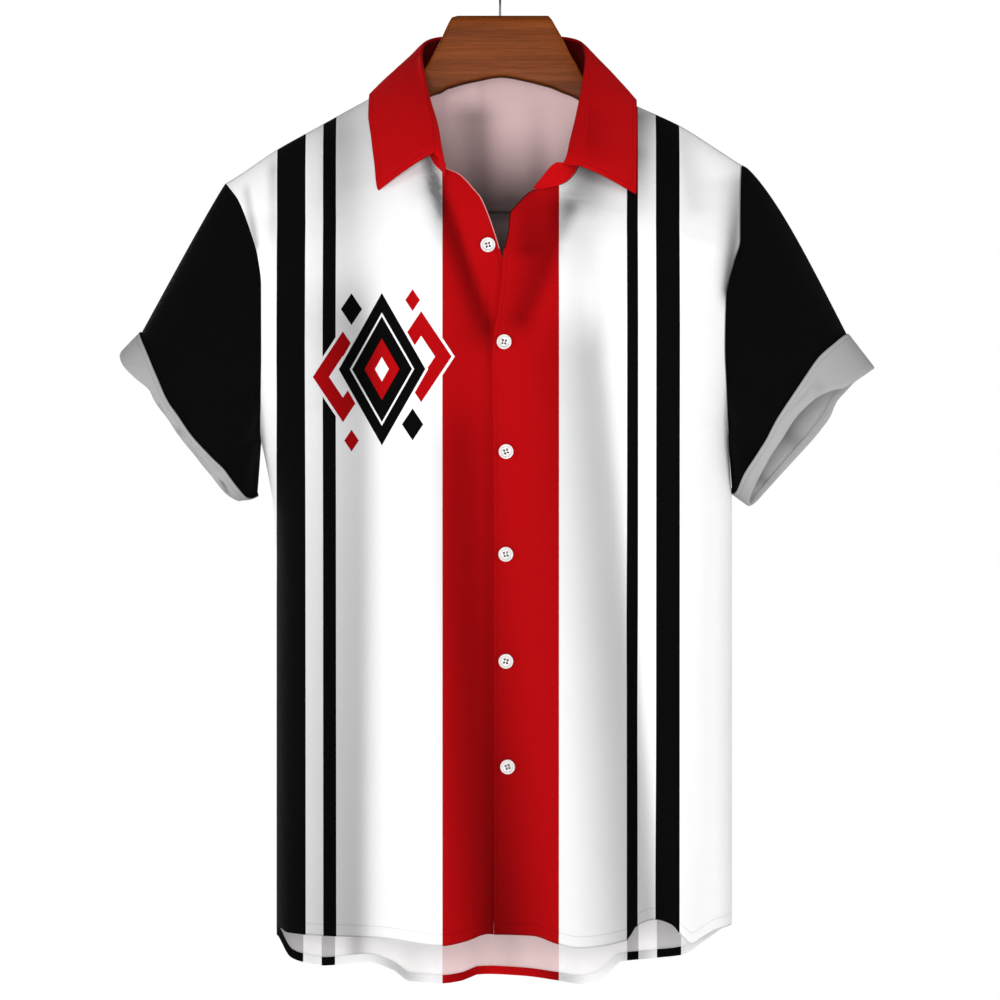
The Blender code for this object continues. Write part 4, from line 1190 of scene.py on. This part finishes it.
def cuff_grid(grid, outward):
    """The cuff's rings: up its outside, round its fold and just inside the opening."""
    normals = grid_normals(grid, closed=True) * outward
    edge, normal, beyond = grid[-1], normals[-1], unit(grid[-1] - grid[-2])
    outside = (grid + normals * CUFF_LIFT)[SLEEVE_ROWS - 1 :]
    rolled = [edge + normal * CUFF_LIFT * off + beyond * past for off, past in CUFF_ROLL]
    rolled.append(edge - normal * CUFF_TUCK[0] + beyond * CUFF_TUCK[1])
    rolled += [grid[row] - normals[row] * TUCK_DEPTH for row in (-1, -2)]
    return np.concatenate([outside, np.array(rolled)])


for side, outward in (("left", -1), ("right", 1)):
    grid = sleeve_grid(side, outward)
    hang(
        f"sleeve_{side}", grid, outward, black_cloth, black_reverse, "sleeve_cloth", closed=True,
        from_seam=lengths(grid, 0), shade_inside=sleeve_shade(grid),
    )
    cuff = cuff_grid(grid, outward)
    hang(
        f"cuff_{side}", cuff, outward, cuff_cloth, black_cloth, "cuff_cloth", held="folded",
        closed=True, from_edge=lengths(cuff, 0), from_seam=NO_SEAM_NEAR, shade=cuff_shade(cuff, side),
    )

# %% [markdown]
# ## The collar
#
# A shirt collar is two pieces, each of two layers of cloth: the stand, which is sewn to the neckline and
# climbs round the neck, and the fall, which is sewn to the stand and turns over it. Their lines are given
# station by station round the neck. The stand rolls over at its top in a small round turn, and the fall
# arches off the shoulders before it comes down to its edge and points. A flat collar could be folded over
# by a simulation, as a sewer's hands would, but its points would land a little elsewhere each time.

# %% The collar's lines
COLLAR_CLOTH = 1.0
COLLAR = table(
    "seam_x seam_down roll_x roll_y roll_down crease_x crease_y crease_down edge_x edge_down",
    (-44, 196.5, -44.3, -90, 196, -44, -92, 193, 0, 0),
    (-53, 193, -46, -92, 186, -53, -96, 184.5, -99, 213.5),
    (-62, 170, -50, -76, 161, -55, -79, 160, -103, 190),
    (-70, 148, -56.5, -52, 138, -60, -55, 137, -106, 168),
    (-75, 128, -61, -28, 118, -63.5, -30, 117.5, -108.5, 148),
    (-76, 117, -64, 1, 98, -66, 1, 97.5, -108, 130.5),
    (-68, 114.5, -62.5, 18, 87, -64.5, 19.5, 87, -97, 138),
    (-48, 112, -50, 36, 79.5, -51.5, 38.5, 79.5, -62, 143),
    (0, 110, 0, 49, 76, 0, 52, 77, 0, 143),
    (50, 113, 54, 36, 79.5, 55.5, 38.5, 79.5, 64, 143),
    (69, 119, 68.5, 18, 86, 70, 19.5, 87, 100, 141),
    (79, 124, 70, 1, 99, 73.5, 1, 100, 113, 135),
    (78.5, 136, 67.5, -22, 120, 74, -25, 122, 113, 151),
    (74, 158, 62.5, -50, 148, 72.5, -55, 152, 112.6, 173),
    (68, 180, 57, -74, 172, 69.5, -80, 178, 112, 196),
    (62, 197, 53.5, -88, 187, 63, -91, 194.5, 111, 216.5),
    (47.5, 210.2, 47, -90, 198, 47, -92, 192, 0, 0),
    (27.5, 213.5, 27.3, -93, 212.9, 27.5, -94, 212.4, 0, 0),
)
BAND_END = (-45.5, 203.5)
LEFT_NECK_STATION, RIGHT_NECK_STATION = 5, 11
FIRST_FALL_STATION, LAST_FALL_STATION = 1, 15
# The fall keeps clear of the body by the second number (mm), with the shoulder line raised by the first,
# and its free edge lies on the body with that line raised a little more.
FALL_LIFT, FALL_CLEAR = 3.6, 2.0
EDGE_LIFT = 6.0
COLLAR_ARCH = table("station rise", (1, 2), (4, 3), (6, 4), (8, 6), (10, 4), (12, 3), (15, 2))


def collar_column(name, stations):
    """A column of the collar's table, read anywhere between its stations."""
    return smooth(stations, np.arange(len(COLLAR[name]), dtype=float), COLLAR[name])


def is_behind(stations):
    """Where the neck seam runs on the back."""
    return (stations > LEFT_NECK_STATION) & (stations < RIGHT_NECK_STATION)


def neck_seam(stations):
    """The neck seam's points on the body's form."""
    x, down = collar_column("seam_x", stations), collar_column("seam_down", stations)
    x = np.where(stations <= LEFT_NECK_STATION, left_opening(down), x)
    x = np.where(stations >= RIGHT_NECK_STATION, right_opening(down), x)
    down = np.where(is_behind(stations), back_neck(x), down)
    y = np.where(is_behind(stations), depth_at(x, down, "back"), -depth_at(x, down, "front"))
    return np.stack([x, y, -down], axis=-1)


def collar_line(name, stations):
    """The roll or the crease of the collar."""
    x, y, down = (collar_column(f"{name}_{axis}", stations) for axis in ("x", "y", "down"))
    return np.stack([x, y, -down], axis=-1)


print("stations round the collar:", len(rows_of(COLLAR)))

# %% The stand
# How far the band's end stands off the front, and its first row off the neck seam.
STAND_COLUMNS, BAND_PROUD, SEAM_RISE = 205, 1.4, 0.1
# Its rows up to the roll and over it, and how high the roll is for the width of its turn.
STAND_RISE, STAND_ROLL = (0, 0.12, 0.26, 0.42, 0.58, 0.74, 0.87), (0.2, 0.35, 0.5, 0.65, 0.8, 1.0)
ROLL_HEIGHT = 0.25
# The band has painted shade inside the neck, where the hanger shades it: from one depth (y, mm) it
# darkens over the next stretch, up to this share. The painted shade ends at a row, and eases over a few
# rows before it.
STAND_SHADE_FROM_Y, STAND_SHADE_OVER, STAND_SHADE = -30, 50, 0.85
LAST_SHADED_ROW, ROW_EASE = 10, 3
SEAM_TO_EDGE = 2.5


def stand_points():
    """The band from the neck seam up to its roll and over to the crease."""
    stations = np.linspace(0, len(rows_of(COLLAR)) - 1, STAND_COLUMNS)
    seam, roll, crease = neck_seam(stations), collar_line("roll", stations), collar_line("crease", stations)
    end_x, end_down = BAND_END
    end = np.array([end_x, -depth_at(end_x, end_down, "front") - BAND_PROUD, -end_down])
    seam = end + (seam - end) * np.clip(stations, 0, 1)[:, None]
    rise = unit(roll - seam)
    start = seam + rise * SEAM_RISE
    rows = [start + (roll - start) * share for share in STAND_RISE]
    low = rows[-1]
    turn = roll + rise * ROLL_HEIGHT * np.linalg.norm(crease - roll, axis=-1, keepdims=True)
    for share in STAND_ROLL:
        rows.append(low * (1 - share) ** 2 + 2 * turn * share * (1 - share) + crease * share**2)
    return np.array(rows)


stand = stand_points()
below_roll = np.clip((LAST_SHADED_ROW - np.arange(len(stand))) / ROW_EASE, 0, 1)[:, None]
hang(
    "collar_stand", stand, 1, red_cloth, red_cloth, "collar_cloth", held="folded", thick=COLLAR_CLOTH,
    from_edge=SEAM_TO_EDGE + lengths(stand, 0),
    shade=STAND_SHADE * np.clip((stand[..., 1] - STAND_SHADE_FROM_Y) / STAND_SHADE_OVER, 0, 1) * below_roll,
)

# %% The fall
FALL_COLUMNS = 185
# The fall arches away from the middle of the neck and up, most of all near its crease.
NECK_MIDDLE_Y, UPWARD, ARCH_SKEW = -10, 0.8, 0.75


def over_shoulders(row):
    """A row of points, kept clear of the body on the front and on the back."""
    down = -row[:, 2]
    for sign, face in ((-1, "front"), (1, "back")):
        clear = depth_at(row[:, 0], down, face, FALL_LIFT, False) + FALL_CLEAR
        on_side = (row[:, 1] * sign > 0) & (down > ridge(row[:, 0]) - FALL_LIFT)
        row[:, 1] = np.where(on_side, sign * np.maximum(sign * row[:, 1], clear), row[:, 1])
    return row


def fall_points():
    """The leaf of the collar, from the crease over the shoulders to its free edge and points."""
    stations = np.linspace(FIRST_FALL_STATION, LAST_FALL_STATION, FALL_COLUMNS)
    crease = collar_line("crease", stations)
    x, down = collar_column("edge_x", stations), collar_column("edge_down", stations)
    back, front = (depth_at(x, down, face, EDGE_LIFT, False) for face in ("back", "front"))
    chord = np.stack([x, np.where(is_behind(stations), back, -front), -down], axis=-1) - crease
    outward = unit(crease * [1, 1, 0] - [0, NECK_MIDDLE_Y, 0])
    outward[:, 2] = UPWARD
    outward = unit(outward - unit(chord) * (outward * unit(chord)).sum(-1, keepdims=True))
    arch = curve(COLLAR_ARCH, "rise")(stations)[:, None]
    return np.array([
        over_shoulders(crease + chord * share + outward * arch * np.sin(np.pi * share**ARCH_SKEW))
        for share in (0, 0.03, 0.07, *even(0.12, 0.96, 0.06), 0.985, 1)
    ])


fall = fall_points()
rise, run = lengths(fall, 0), lengths(fall, 1)
hang(
    "collar_fall", fall, -1, red_cloth, red_cloth, "collar_cloth", held="folded", thick=COLLAR_CLOTH,
    from_edge=np.minimum(rise[-1] - rise, np.minimum(run, run[:, -1:] - run)),
    shade=np.where(fall[..., 1] < 0, shade_at(fall[..., 0], -fall[..., 2], "collar"), 0),
)

# %% [markdown]
# ## Buttons
#
# A shirt button is a small disc with a raised rim, a shallow dish and four holes, sewn on with grey
# thread. It is modelled once: a cylinder whose top is inset twice for the rim and the dish, softened by a
# bevel, and drilled by four small cylinders. Two short loops of thread close the holes in pairs. The
# finished button is then copied to each place and turned to lie flat on the cloth. An array would lay
# them out evenly, but buttons on hanging cloth are never quite even.

# %% Button and thread finishes
def glossy(name, ink, rough, coat_weight=0.0, metallic=0.0):
    """A smooth finish with faint clouding."""
    material, tree, shader = begin(name)
    cloudy = noise(tree, place_on(tree), 320.0, 3.0)
    darker = tuple(0.82 * value for value in ink)
    finish = {
        "Base Color": mix_colours(tree, cloudy, colour(ink), colour(darker)),
        "Roughness": remap(tree, cloudy, 0.3, 0.7, rough * 0.8, rough * 1.2),
        "Coat Weight": coat_weight, "Metallic": metallic,
    }
    give(tree, shader, finish)
    return material


button_white = glossy("button_white", (0.66, 0.63, 0.62), 0.4, coat_weight=0.15)
# The holes' walls and floors are painted near black, as the shade in them.
button_hole_shade = glossy("button_hole_shade", (0.02, 0.018, 0.018), 0.8)
thread_grey = glossy("thread_grey", (0.3, 0.28, 0.28), 0.8)
wire_steel = glossy("wire_steel", (0.12, 0.12, 0.125), 0.25, metallic=1.0)
print("small finishes:", button_white.name, button_hole_shade.name, thread_grey.name, wire_steel.name)

# %% Shaping helpers
def start_from(shape, name, **sizes):
    """Adds one of Blender's own shapes at its size and place, with that place in its mesh."""
    bpy.ops.object.select_all(action="DESELECT")
    shape(**sizes)
    bpy.ops.object.transform_apply(location=True, rotation=True, scale=True)
    piece = bpy.context.active_object
    piece.name = name
    return piece


def choose_faces(piece, wanted):
    """Selects, in edit mode, only the faces that fit."""
    bpy.ops.mesh.select_mode(type="FACE")
    bpy.ops.mesh.select_all(action="DESELECT")
    form = bmesh.from_edit_mesh(piece.data)
    for face in form.faces:
        face.select_set(bool(wanted(face)))
    bmesh.update_edit_mesh(piece.data)


# %% One button
BUTTON_RADIUS, BUTTON_THICK, BUTTON_MIDDLE = 6.0, 2.3, 1.4
# The rim's width, the dish's slope and depth, the slope and rise of the back, and how soft the edges are.
RIM, DISH_SLOPE, DISH_DEPTH = 1.3, 0.7, 0.9
BACK_SLOPE, BACK_RISE, SOFTNESS = 1.2, 0.25, 0.38
# The holes' radius, how far they are from the middle, where they end, and the length of the drill.
HOLE_RADIUS, HOLE_RING, HOLE_FLOOR, DRILL = 0.95, 1.75, 0.9, 9.0


def round_blank():
    """The button before it is drilled: a disc with a rim, a dish and soft edges."""
    button = start_from(
        bpy.ops.mesh.primitive_cylinder_add, "button", vertices=48, radius=BUTTON_RADIUS * MM,
        depth=BUTTON_THICK * MM, location=(0, 0, BUTTON_MIDDLE * MM),
    )
    bpy.ops.object.mode_set(mode="EDIT")
    choose_faces(button, lambda face: face.normal.z > 0.9)
    bpy.ops.mesh.inset(thickness=RIM * MM, depth=0)
    bpy.ops.mesh.inset(thickness=DISH_SLOPE * MM, depth=-DISH_DEPTH * MM)
    choose_faces(button, lambda face: face.normal.z < -0.9)
    bpy.ops.mesh.inset(thickness=BACK_SLOPE * MM, depth=BACK_RISE * MM)
    bpy.ops.object.mode_set(mode="OBJECT")
    soft = button.modifiers.new("soft_edges", "BEVEL")
    soft.width, soft.segments = SOFTNESS * MM, 3
    soft.limit_method, soft.angle_limit = "ANGLE", 0.4
    apply_all(button)
    return button


def model_button():
    """A button with its four holes, whose walls and floors are painted dark as the shade in them."""
    button = round_blank()
    for quarter in range(4):
        turned = np.radians(45 + 90 * quarter)
        place = Vector((HOLE_RING * np.cos(turned), HOLE_RING * np.sin(turned), HOLE_FLOOR + DRILL / 2))
        drill = start_from(
            bpy.ops.mesh.primitive_cylinder_add, "drill", vertices=20, radius=HOLE_RADIUS * MM,
            depth=DRILL * MM, location=place * MM,
        )
        hole = button.modifiers.new("hole", "BOOLEAN")
        hole.operation, hole.object = "DIFFERENCE", drill
        apply_all(button)
        bpy.data.objects.remove(drill)
    coat(button, button_white, button_hole_shade)
    for face in button.data.polygons:
        in_ring = abs(face.center.xy.length - HOLE_RING * MM) < 1.1 * HOLE_RADIUS * MM
        is_wall = in_ring and abs(face.normal.z) < 0.3 and face.center.z > HOLE_FLOOR * MM
        if is_wall or abs(face.center.z - HOLE_FLOOR * MM) < 0.01 * MM:
            face.material_index = 1
    print("dark faces in the holes:", sum(face.material_index for face in button.data.polygons))
    return button


# %% Two loops of thread
THREAD_RADIUS, THREAD_DOWN = 0.34, 0.95


def model_thread():
    """Two loops of thread, each through one pair of holes."""
    reach = HOLE_RING * np.cos(np.radians(45))
    loops = [
        start_from(
            bpy.ops.mesh.primitive_torus_add, "thread", major_radius=reach * MM,
            minor_radius=THREAD_RADIUS * MM, major_segments=24, minor_segments=8,
            location=(side * reach * MM, 0, THREAD_DOWN * MM), rotation=(0, np.pi / 2, 0),
        )
        for side in (-1, 1)
    ]
    loops[0].select_set(True)
    bpy.ops.object.join()
    thread = bpy.context.active_object
    coat(thread, thread_grey)
    return thread


button_model, thread_model = model_button(), model_thread()
print("one button:", len(button_model.data.polygons), "faces")

# %% Sewing the buttons on
BUTTONS = [
    # x, down, and how far it is turned, in degrees
    (-9.8, 259, 12), (3.3, 338, -8), (4.9, 427, 20),
    (4.9, 510.5, 5), (4.9, 597.5, -15), (6.5, 683.5, 9),
]
BUTTON_GAP = 0.15


def button_place(x, down, spin):
    """Where a button sits on the front, and how it is turned."""
    around = np.linspace(0, 2 * np.pi, 24, endpoint=False)
    across = np.concatenate([[x, x + 1, x], x + BUTTON_RADIUS * np.cos(around)])
    lower = np.concatenate([[down, down, down + 1], down + BUTTON_RADIUS * np.sin(around)])
    under = body_point(across, lower, "front")
    if x < right_opening(down):
        under = sunk(under)
    centre, right, below = under[:3]
    normal = unit(np.cross(right - centre, below - centre))
    normal *= -np.sign(normal[1])
    highest = max(0.0, float(((under - centre) @ normal).max()))
    seat = Vector((centre + normal * (highest + CLOTH / 2 + BUTTON_GAP)) * MM)
    turn = Vector((0, 0, 1)).rotation_difference(Vector(normal)).to_matrix().to_4x4()
    return Matrix.Translation(seat) @ turn @ Matrix.Rotation(np.radians(spin), 4, "Z")


def sew_on(model, name, place, nodes=()):
    """A copy of a model with a mesh of its own, at its place."""
    mesh = model.data.copy()
    mesh.transform(place)
    finish_piece(show(name, mesh), nodes)


for number, (x, down, spin) in enumerate(BUTTONS, 1):
    place = button_place(x, down, spin)
    sew_on(button_model, f"button_{number}_shown", place, [f"button_{number}"])
    sew_on(thread_model, f"thread_{number}", place)
for model in (button_model, thread_model):
    bpy.data.objects.remove(model)
print("buttons sewn on:", len(BUTTONS))

# %% [markdown]
# ## The hanger
#
# The hanger is cut from one plank: a raised middle with sloping shoulders, hollowed below, and two arms
# that carry the shirt. Turned and sanded wood has no sharp edges, so a rounded section is drawn out along
# it, like a tube whose height changes. A circle is shaped into the first section and extruded from
# station to station in edit mode, scaled and moved each time. A flat outline given a thickness would be
# quicker, but even with a bevel its arms would stay flat boards. The wire hook is a small circle too,
# drawn up straight and then spun round the bend.

# %% The hanger's outline
WOOD_TOP = 64.7
HANGER_MIDDLE = table(
    "x top bottom", (-76, 119.2, 142), (-68, 113.5, 137.5), (-61, 106.2, 133.5), (-55.6, 97, 131),
    (-49, 84.7, 129), (-44, 73.5, 126), (-41.7, 69, 125), (-39.6, 66, 124.6), (-35, WOOD_TOP, 123),
    (-20, WOOD_TOP, 119.5), (1, WOOD_TOP, 116), (22, WOOD_TOP, 119.5), (39.5, WOOD_TOP, 124),
    (43, 68, 125), (45.5, 72.5, 126), (52.5, 84.7, 129), (58, 96, 131), (64, 106.2, 134),
    (69, 115, 139), (75, 123.5, 145),
)
HANGER_ARM = table(
    "x height half", (84, 24, 7), (96, 25, 7), (120, 26, 7), (145, 26, 7), (170, 25, 6.6),
    (184, 22, 5.8), (192, 18, 4.6), (196, 12, 2.8),
)
HANGER_HALF = 7.0
# The arms lie under the inside of the solids' wall by this clearance.
WALL, ARM_CLEARANCE = 1.2, 1.4
WOOD_STEP = 5.0


def hanger_sections():
    """x, top, bottom and half thickness along the wood."""
    middle = [*HANGER_MIDDLE.values(), np.full(len(HANGER_MIDDLE["x"]), HANGER_HALF)]
    arms = []
    for side in (-1, 1):
        x = side * HANGER_ARM["x"]
        top = ridge(x) + WALL / 2 + ARM_CLEARANCE
        arms.append(np.stack([x, top, top + HANGER_ARM["height"], HANGER_ARM["half"]], axis=-1))
    return np.concatenate([arms[0][::-1], np.stack(middle, axis=-1), arms[1]])


def fine_sections(coarse):
    """The same sections, close enough together for smooth slopes."""
    between = even(coarse[0, 0], coarse[-1, 0], WOOD_STEP)
    x = np.unique(np.round(np.concatenate([between, coarse[:, 0]]), 2))
    return np.stack([x, *(smooth(x, coarse[:, 0], coarse[:, k]) for k in (1, 2, 3))], axis=-1)


wood_sections = fine_sections(hanger_sections())
print("the wood is", round(float(np.ptp(wood_sections[:, 0])), 1), "mm long")

# %% Varnished wood
def varnished_wood():
    """Bands, grain and pores, each a noise drawn out along the wood, and a dark line of painted shade under
    its edge.
    """
    material, tree, shader = begin("varnished_wood")
    place = place_on(tree)

    def drawn_out(scale, detail, roughness):
        stretched = add(tree, "ShaderNodeMapping", {"Vector": place, "Scale": scale}).outputs[0]
        return noise(tree, stretched, 1.0, detail, roughness)

    bands = drawn_out((5.0, 60.0, 75.0), 4.0, 0.6)
    grain = drawn_out((16.0, 420.0, 460.0), 5.0, 0.65)
    pores = drawn_out((90.0, 2400.0, 2600.0), 2.0, 0.5)
    ramp = add(tree, "ShaderNodeValToRGB", {"Fac": bands})
    stops = ramp.color_ramp.elements
    stops[0].position, stops[0].color = 0.3, colour((0.1, 0.0215, 0.0022))
    stops[1].position, stops[1].color = 0.72, colour((0.208, 0.048, 0.0058))
    stops.new(0.5).color = colour((0.156, 0.0345, 0.0038))
    lines = remap(tree, grain, 0.38, 0.62, 0.8, 1.1)
    dots = remap(tree, pores, 0.35, 0.5, 0.8, 1.0)
    # Painted shade: a dark line along the lower edge.
    rim = remap(tree, mark(tree, "to_low_edge"), 0.9, 0.98, 1.0, 0.25)
    finish = {
        "Base Color": toned(tree, ramp.outputs[0], times(tree, times(tree, lines, dots), rim)),
        "Roughness": remap(tree, grain, 0.3, 0.7, 0.5, 0.34),
        "Normal": bump(tree, maths(tree, "ADD", grain, pores), 0.0003, 0.35),
        "Coat Weight": 0.02, "Coat Roughness": 0.3, "Specular IOR Level": 0.06,
    }
    give(tree, shader, finish)
    return material


wood = varnished_wood()
print("wood finish:", wood.name)

# %% Drawing out the wood
HANGER_SIDES, HANGER_SQUARENESS = 28, 0.28


def draw_out(sections):
    """Extrudes the selected section to each of the others, moved and scaled to fit it."""
    for before, after in zip(sections, sections[1:]):
        x, top, bottom, half = after
        shift = Vector((x - before[0], 0, (before[1] + before[2] - top - bottom) / 2)) * MM
        bpy.ops.mesh.extrude_region_move(TRANSFORM_OT_translate={"value": shift})
        grow = (1, half / before[3], (bottom - top) / (before[2] - before[1]))
        bpy.ops.transform.resize(value=grow, center_override=Vector((x, 0, -(top + bottom) / 2)) * MM)


def close_shell(merge=False):
    """Ends the work in edit mode with all faces turned outwards."""
    bpy.ops.mesh.select_all(action="SELECT")
    if merge:
        bpy.ops.mesh.remove_doubles(threshold=0.00001)
    bpy.ops.mesh.normals_make_consistent(inside=False)
    bpy.ops.object.mode_set(mode="OBJECT")


def model_wood(sections):
    """The hanger's wood. Each point keeps how near it is to the lower edge, for the painted shade line
    there.
    """
    x, top, bottom, half = sections[0]
    piece = start_from(
        bpy.ops.mesh.primitive_circle_add, "hanger_wood", vertices=HANGER_SIDES, radius=1.0,
        fill_type="NGON", rotation=(0, np.pi / 2, 0),
    )
    for vertex in piece.data.vertices:
        y, z = (np.sign(v) * abs(v) ** HANGER_SQUARENESS for v in (vertex.co.y, vertex.co.z))
        vertex.co = Vector((x, y * half, z * (bottom - top) / 2 - (top + bottom) / 2)) * MM
    bpy.ops.object.mode_set(mode="EDIT")
    bpy.ops.mesh.select_all(action="SELECT")
    draw_out(sections)
    close_shell()
    places = np.array([vertex.co for vertex in piece.data.vertices]) / MM
    top, bottom = (np.interp(places[:, 0], sections[:, 0], sections[:, k]) for k in (1, 2))
    to_low = (-places[:, 2] - (top + bottom) / 2) / ((bottom - top) / 2)
    piece.data.attributes.new("to_low_edge", "FLOAT", "POINT").data.foreach_set("value", to_low)
    coat(piece, wood)
    return finish_piece(piece, ["hanger_bar"], angle=0.9)


print("hanger:", len(model_wood(wood_sections).data.polygons), "faces")

# %% The wire hook
WIRE, HOOK_BEND = 2.0, 21.0
HOOK_FOOT = table(
    "station y down", (0, 0, WOOD_TOP + 3), (1, 0, 56), (2, 0.8, 50.5), (3, 4.5, 46.5), (4, 10, 43.2)
)
HOOK_START, HOOK_STOP = np.radians(-52.0), np.radians(196.0)
HOOK_RADIUS = HOOK_BEND + WIRE / 2


def hook_route():
    """The wire's middle line, from its foot in the wood to where its bend starts."""
    y, down = curve(HOOK_FOOT, "y"), curve(HOOK_FOOT, "down")
    route = [Vector((0, y(s), -down(s))) for s in even(0, HOOK_FOOT["station"][-1], 0.25)]
    bend = (0, HOOK_RADIUS * np.cos(HOOK_START), HOOK_RADIUS * np.sin(HOOK_START) - HOOK_BEND)
    return [*route, Vector(bend)]


def model_hook():
    """The hook: a small circle drawn along its foot, turned at each step, and spun round the bend."""
    route = hook_route()
    piece = start_from(
        bpy.ops.mesh.primitive_circle_add, "hook_wire", vertices=16, radius=WIRE / 2 * MM,
        fill_type="NGON", location=route[0] * MM,
    )
    bpy.ops.object.mode_set(mode="EDIT")
    bpy.ops.mesh.select_all(action="SELECT")
    aims = [(there - here).normalized() for here, there in zip(route, route[1:])]
    aims[-1] = Vector((0, -np.sin(HOOK_START), np.cos(HOOK_START)))
    headings = [Vector((0, 0, 1)), *aims]
    for here, there, heading, aim in zip(route, route[1:], headings, aims):
        bpy.ops.mesh.extrude_region_move(TRANSFORM_OT_translate={"value": (there - here) * MM})
        turn = np.arctan2(heading.z, heading.y) - np.arctan2(aim.z, aim.y)
        bpy.ops.transform.rotate(value=turn, orient_axis="X", center_override=there * MM)
    bpy.ops.mesh.spin(
        steps=48, angle=HOOK_STOP - HOOK_START, center=(0, 0, -HOOK_BEND * MM), axis=(1, 0, 0)
    )
    close_shell(merge=True)
    coat(piece, wire_steel)
    return finish_piece(piece, ["hanger_hook"], angle=0.9)


hook = model_hook()
low, high = (Vector(corner) for corner in (hook.bound_box[0], hook.bound_box[6]))
print("hook reaches from", [round(v / MM, 1) for v in low], "to", [round(v / MM, 1) for v in high])

# %% [markdown]
# ## Studio
#
# The shirt hangs in a plain bright room. A large soft light stands in front, close to the camera, so that
# the print shows in its own colours. Two weaker ones from the sides give each fold a lit slope and a
# shaded one, and a fourth reaches the back. One sun would be simpler, but its hard shadows would draw
# lines over the print. The sky is brightest round the horizon and dimmer above, which keeps the folds
# from washing out.

# %% Floor and sky
FLOOR_DOWN, FLOOR_RADIUS = 1.25, 3.6


def make_floor():
    """A wide pale floor that glows a little, so that it has no edge against the sky."""
    material, tree, shader = begin("pale_floor")
    finish = {
        "Base Color": colour((0.8, 0.8, 0.8)), "Roughness": 0.9,
        "Emission Color": colour((1.0, 1.0, 1.0)), "Emission Strength": 0.4,
    }
    give(tree, shader, finish)
    floor = start_from(
        bpy.ops.mesh.primitive_circle_add, "floor", vertices=96, radius=FLOOR_RADIUS,
        fill_type="NGON", location=(0, 0, -FLOOR_DOWN),
    )
    coat(floor, material)
    floor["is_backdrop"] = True


def make_sky():
    """A white sky, brightest round the horizon."""
    world = bpy.data.worlds.new("studio")
    bpy.context.scene.world = world
    world.use_nodes = True
    tree = world.node_tree
    where = add(tree, "ShaderNodeTexCoord").outputs["Generated"]
    apart = add(tree, "ShaderNodeSeparateXYZ", {0: where}).outputs
    above = remap(tree, apart["Z"], 0.14, 0.3, 1.0, 0.15)
    give(tree, tree.nodes["Background"], {"Strength": above, "Color": colour((1.0, 1.0, 1.0))})


make_floor()
make_sky()
print("floor", FLOOR_DOWN, "m below the hook")

# %% Lights
AIM = Vector((0, 0, -0.47))
LIGHTS = [
    # name, place, width in metres, power in watts
    ("front", (-0.3, -4.2, -0.5), 1.1, 86.0),
    ("left", (-2.6, -1.6, 0.1), 1.0, 18.0),
    ("right", (2.6, -1.6, 0.1), 1.0, 22.0),
    ("back", (-2.0, 3.0, 0.3), 1.0, 45.0),
]


def make_light(name, place, size, power):
    """A square lamp that is turned towards the middle of the shirt."""
    light = bpy.data.lights.new(name, "AREA")
    light.shape, light.size, light.energy = "SQUARE", size, power
    lamp = show(name, light)
    lamp.location = place
    lamp.rotation_euler = (AIM - Vector(place)).to_track_quat("-Z", "Y").to_euler()


for light in LIGHTS:
    make_light(*light)
bpy.context.scene.view_settings.view_transform = "Standard"
print("lights:", len(LIGHTS))

# %% [markdown]
# ## Camera
#
# A shirt in a catalogue is shown straight from the front and from far away, so that its near and far
# parts keep their true sizes. A camera without perspective would do that exactly, but it would flatten
# the sleeves, so this one has a long lens and stands four and a half metres away.

# %% Camera
CAMERA_BACK, FRAME_WIDTH, FRAME_MIDDLE = 4.5, 0.83, 0.46646
SENSOR = 36.0
camera_data = bpy.data.cameras.new("camera")
camera_data.sensor_width = SENSOR
camera_data.lens = SENSOR * CAMERA_BACK / FRAME_WIDTH
camera_data.clip_end = 50.0
camera = show("camera", camera_data)
camera.location = (0, -CAMERA_BACK, -FRAME_MIDDLE)
camera.rotation_euler = (np.pi / 2, 0, 0)
bpy.context.scene.camera = camera
print("lens:", round(camera_data.lens), "mm")

# %% [markdown]
# ## The sizes at the end
#
# The cloth has to hang where the solids are, or the shirt would not be its real size. The box round the
# solids was measured before any cloth was made, and the box round the dressed shirt is measured now. Both
# are printed side by side.

# %% The sizes of the solids and of the dressed shirt
shown_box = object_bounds()
spans = [[round((high - low) / MM, 1) for low, high in zip(*box)] for box in (CAD_BOX, shown_box)]
print("solids span", spans[0], "mm, the dressed shirt", spans[1], "mm")
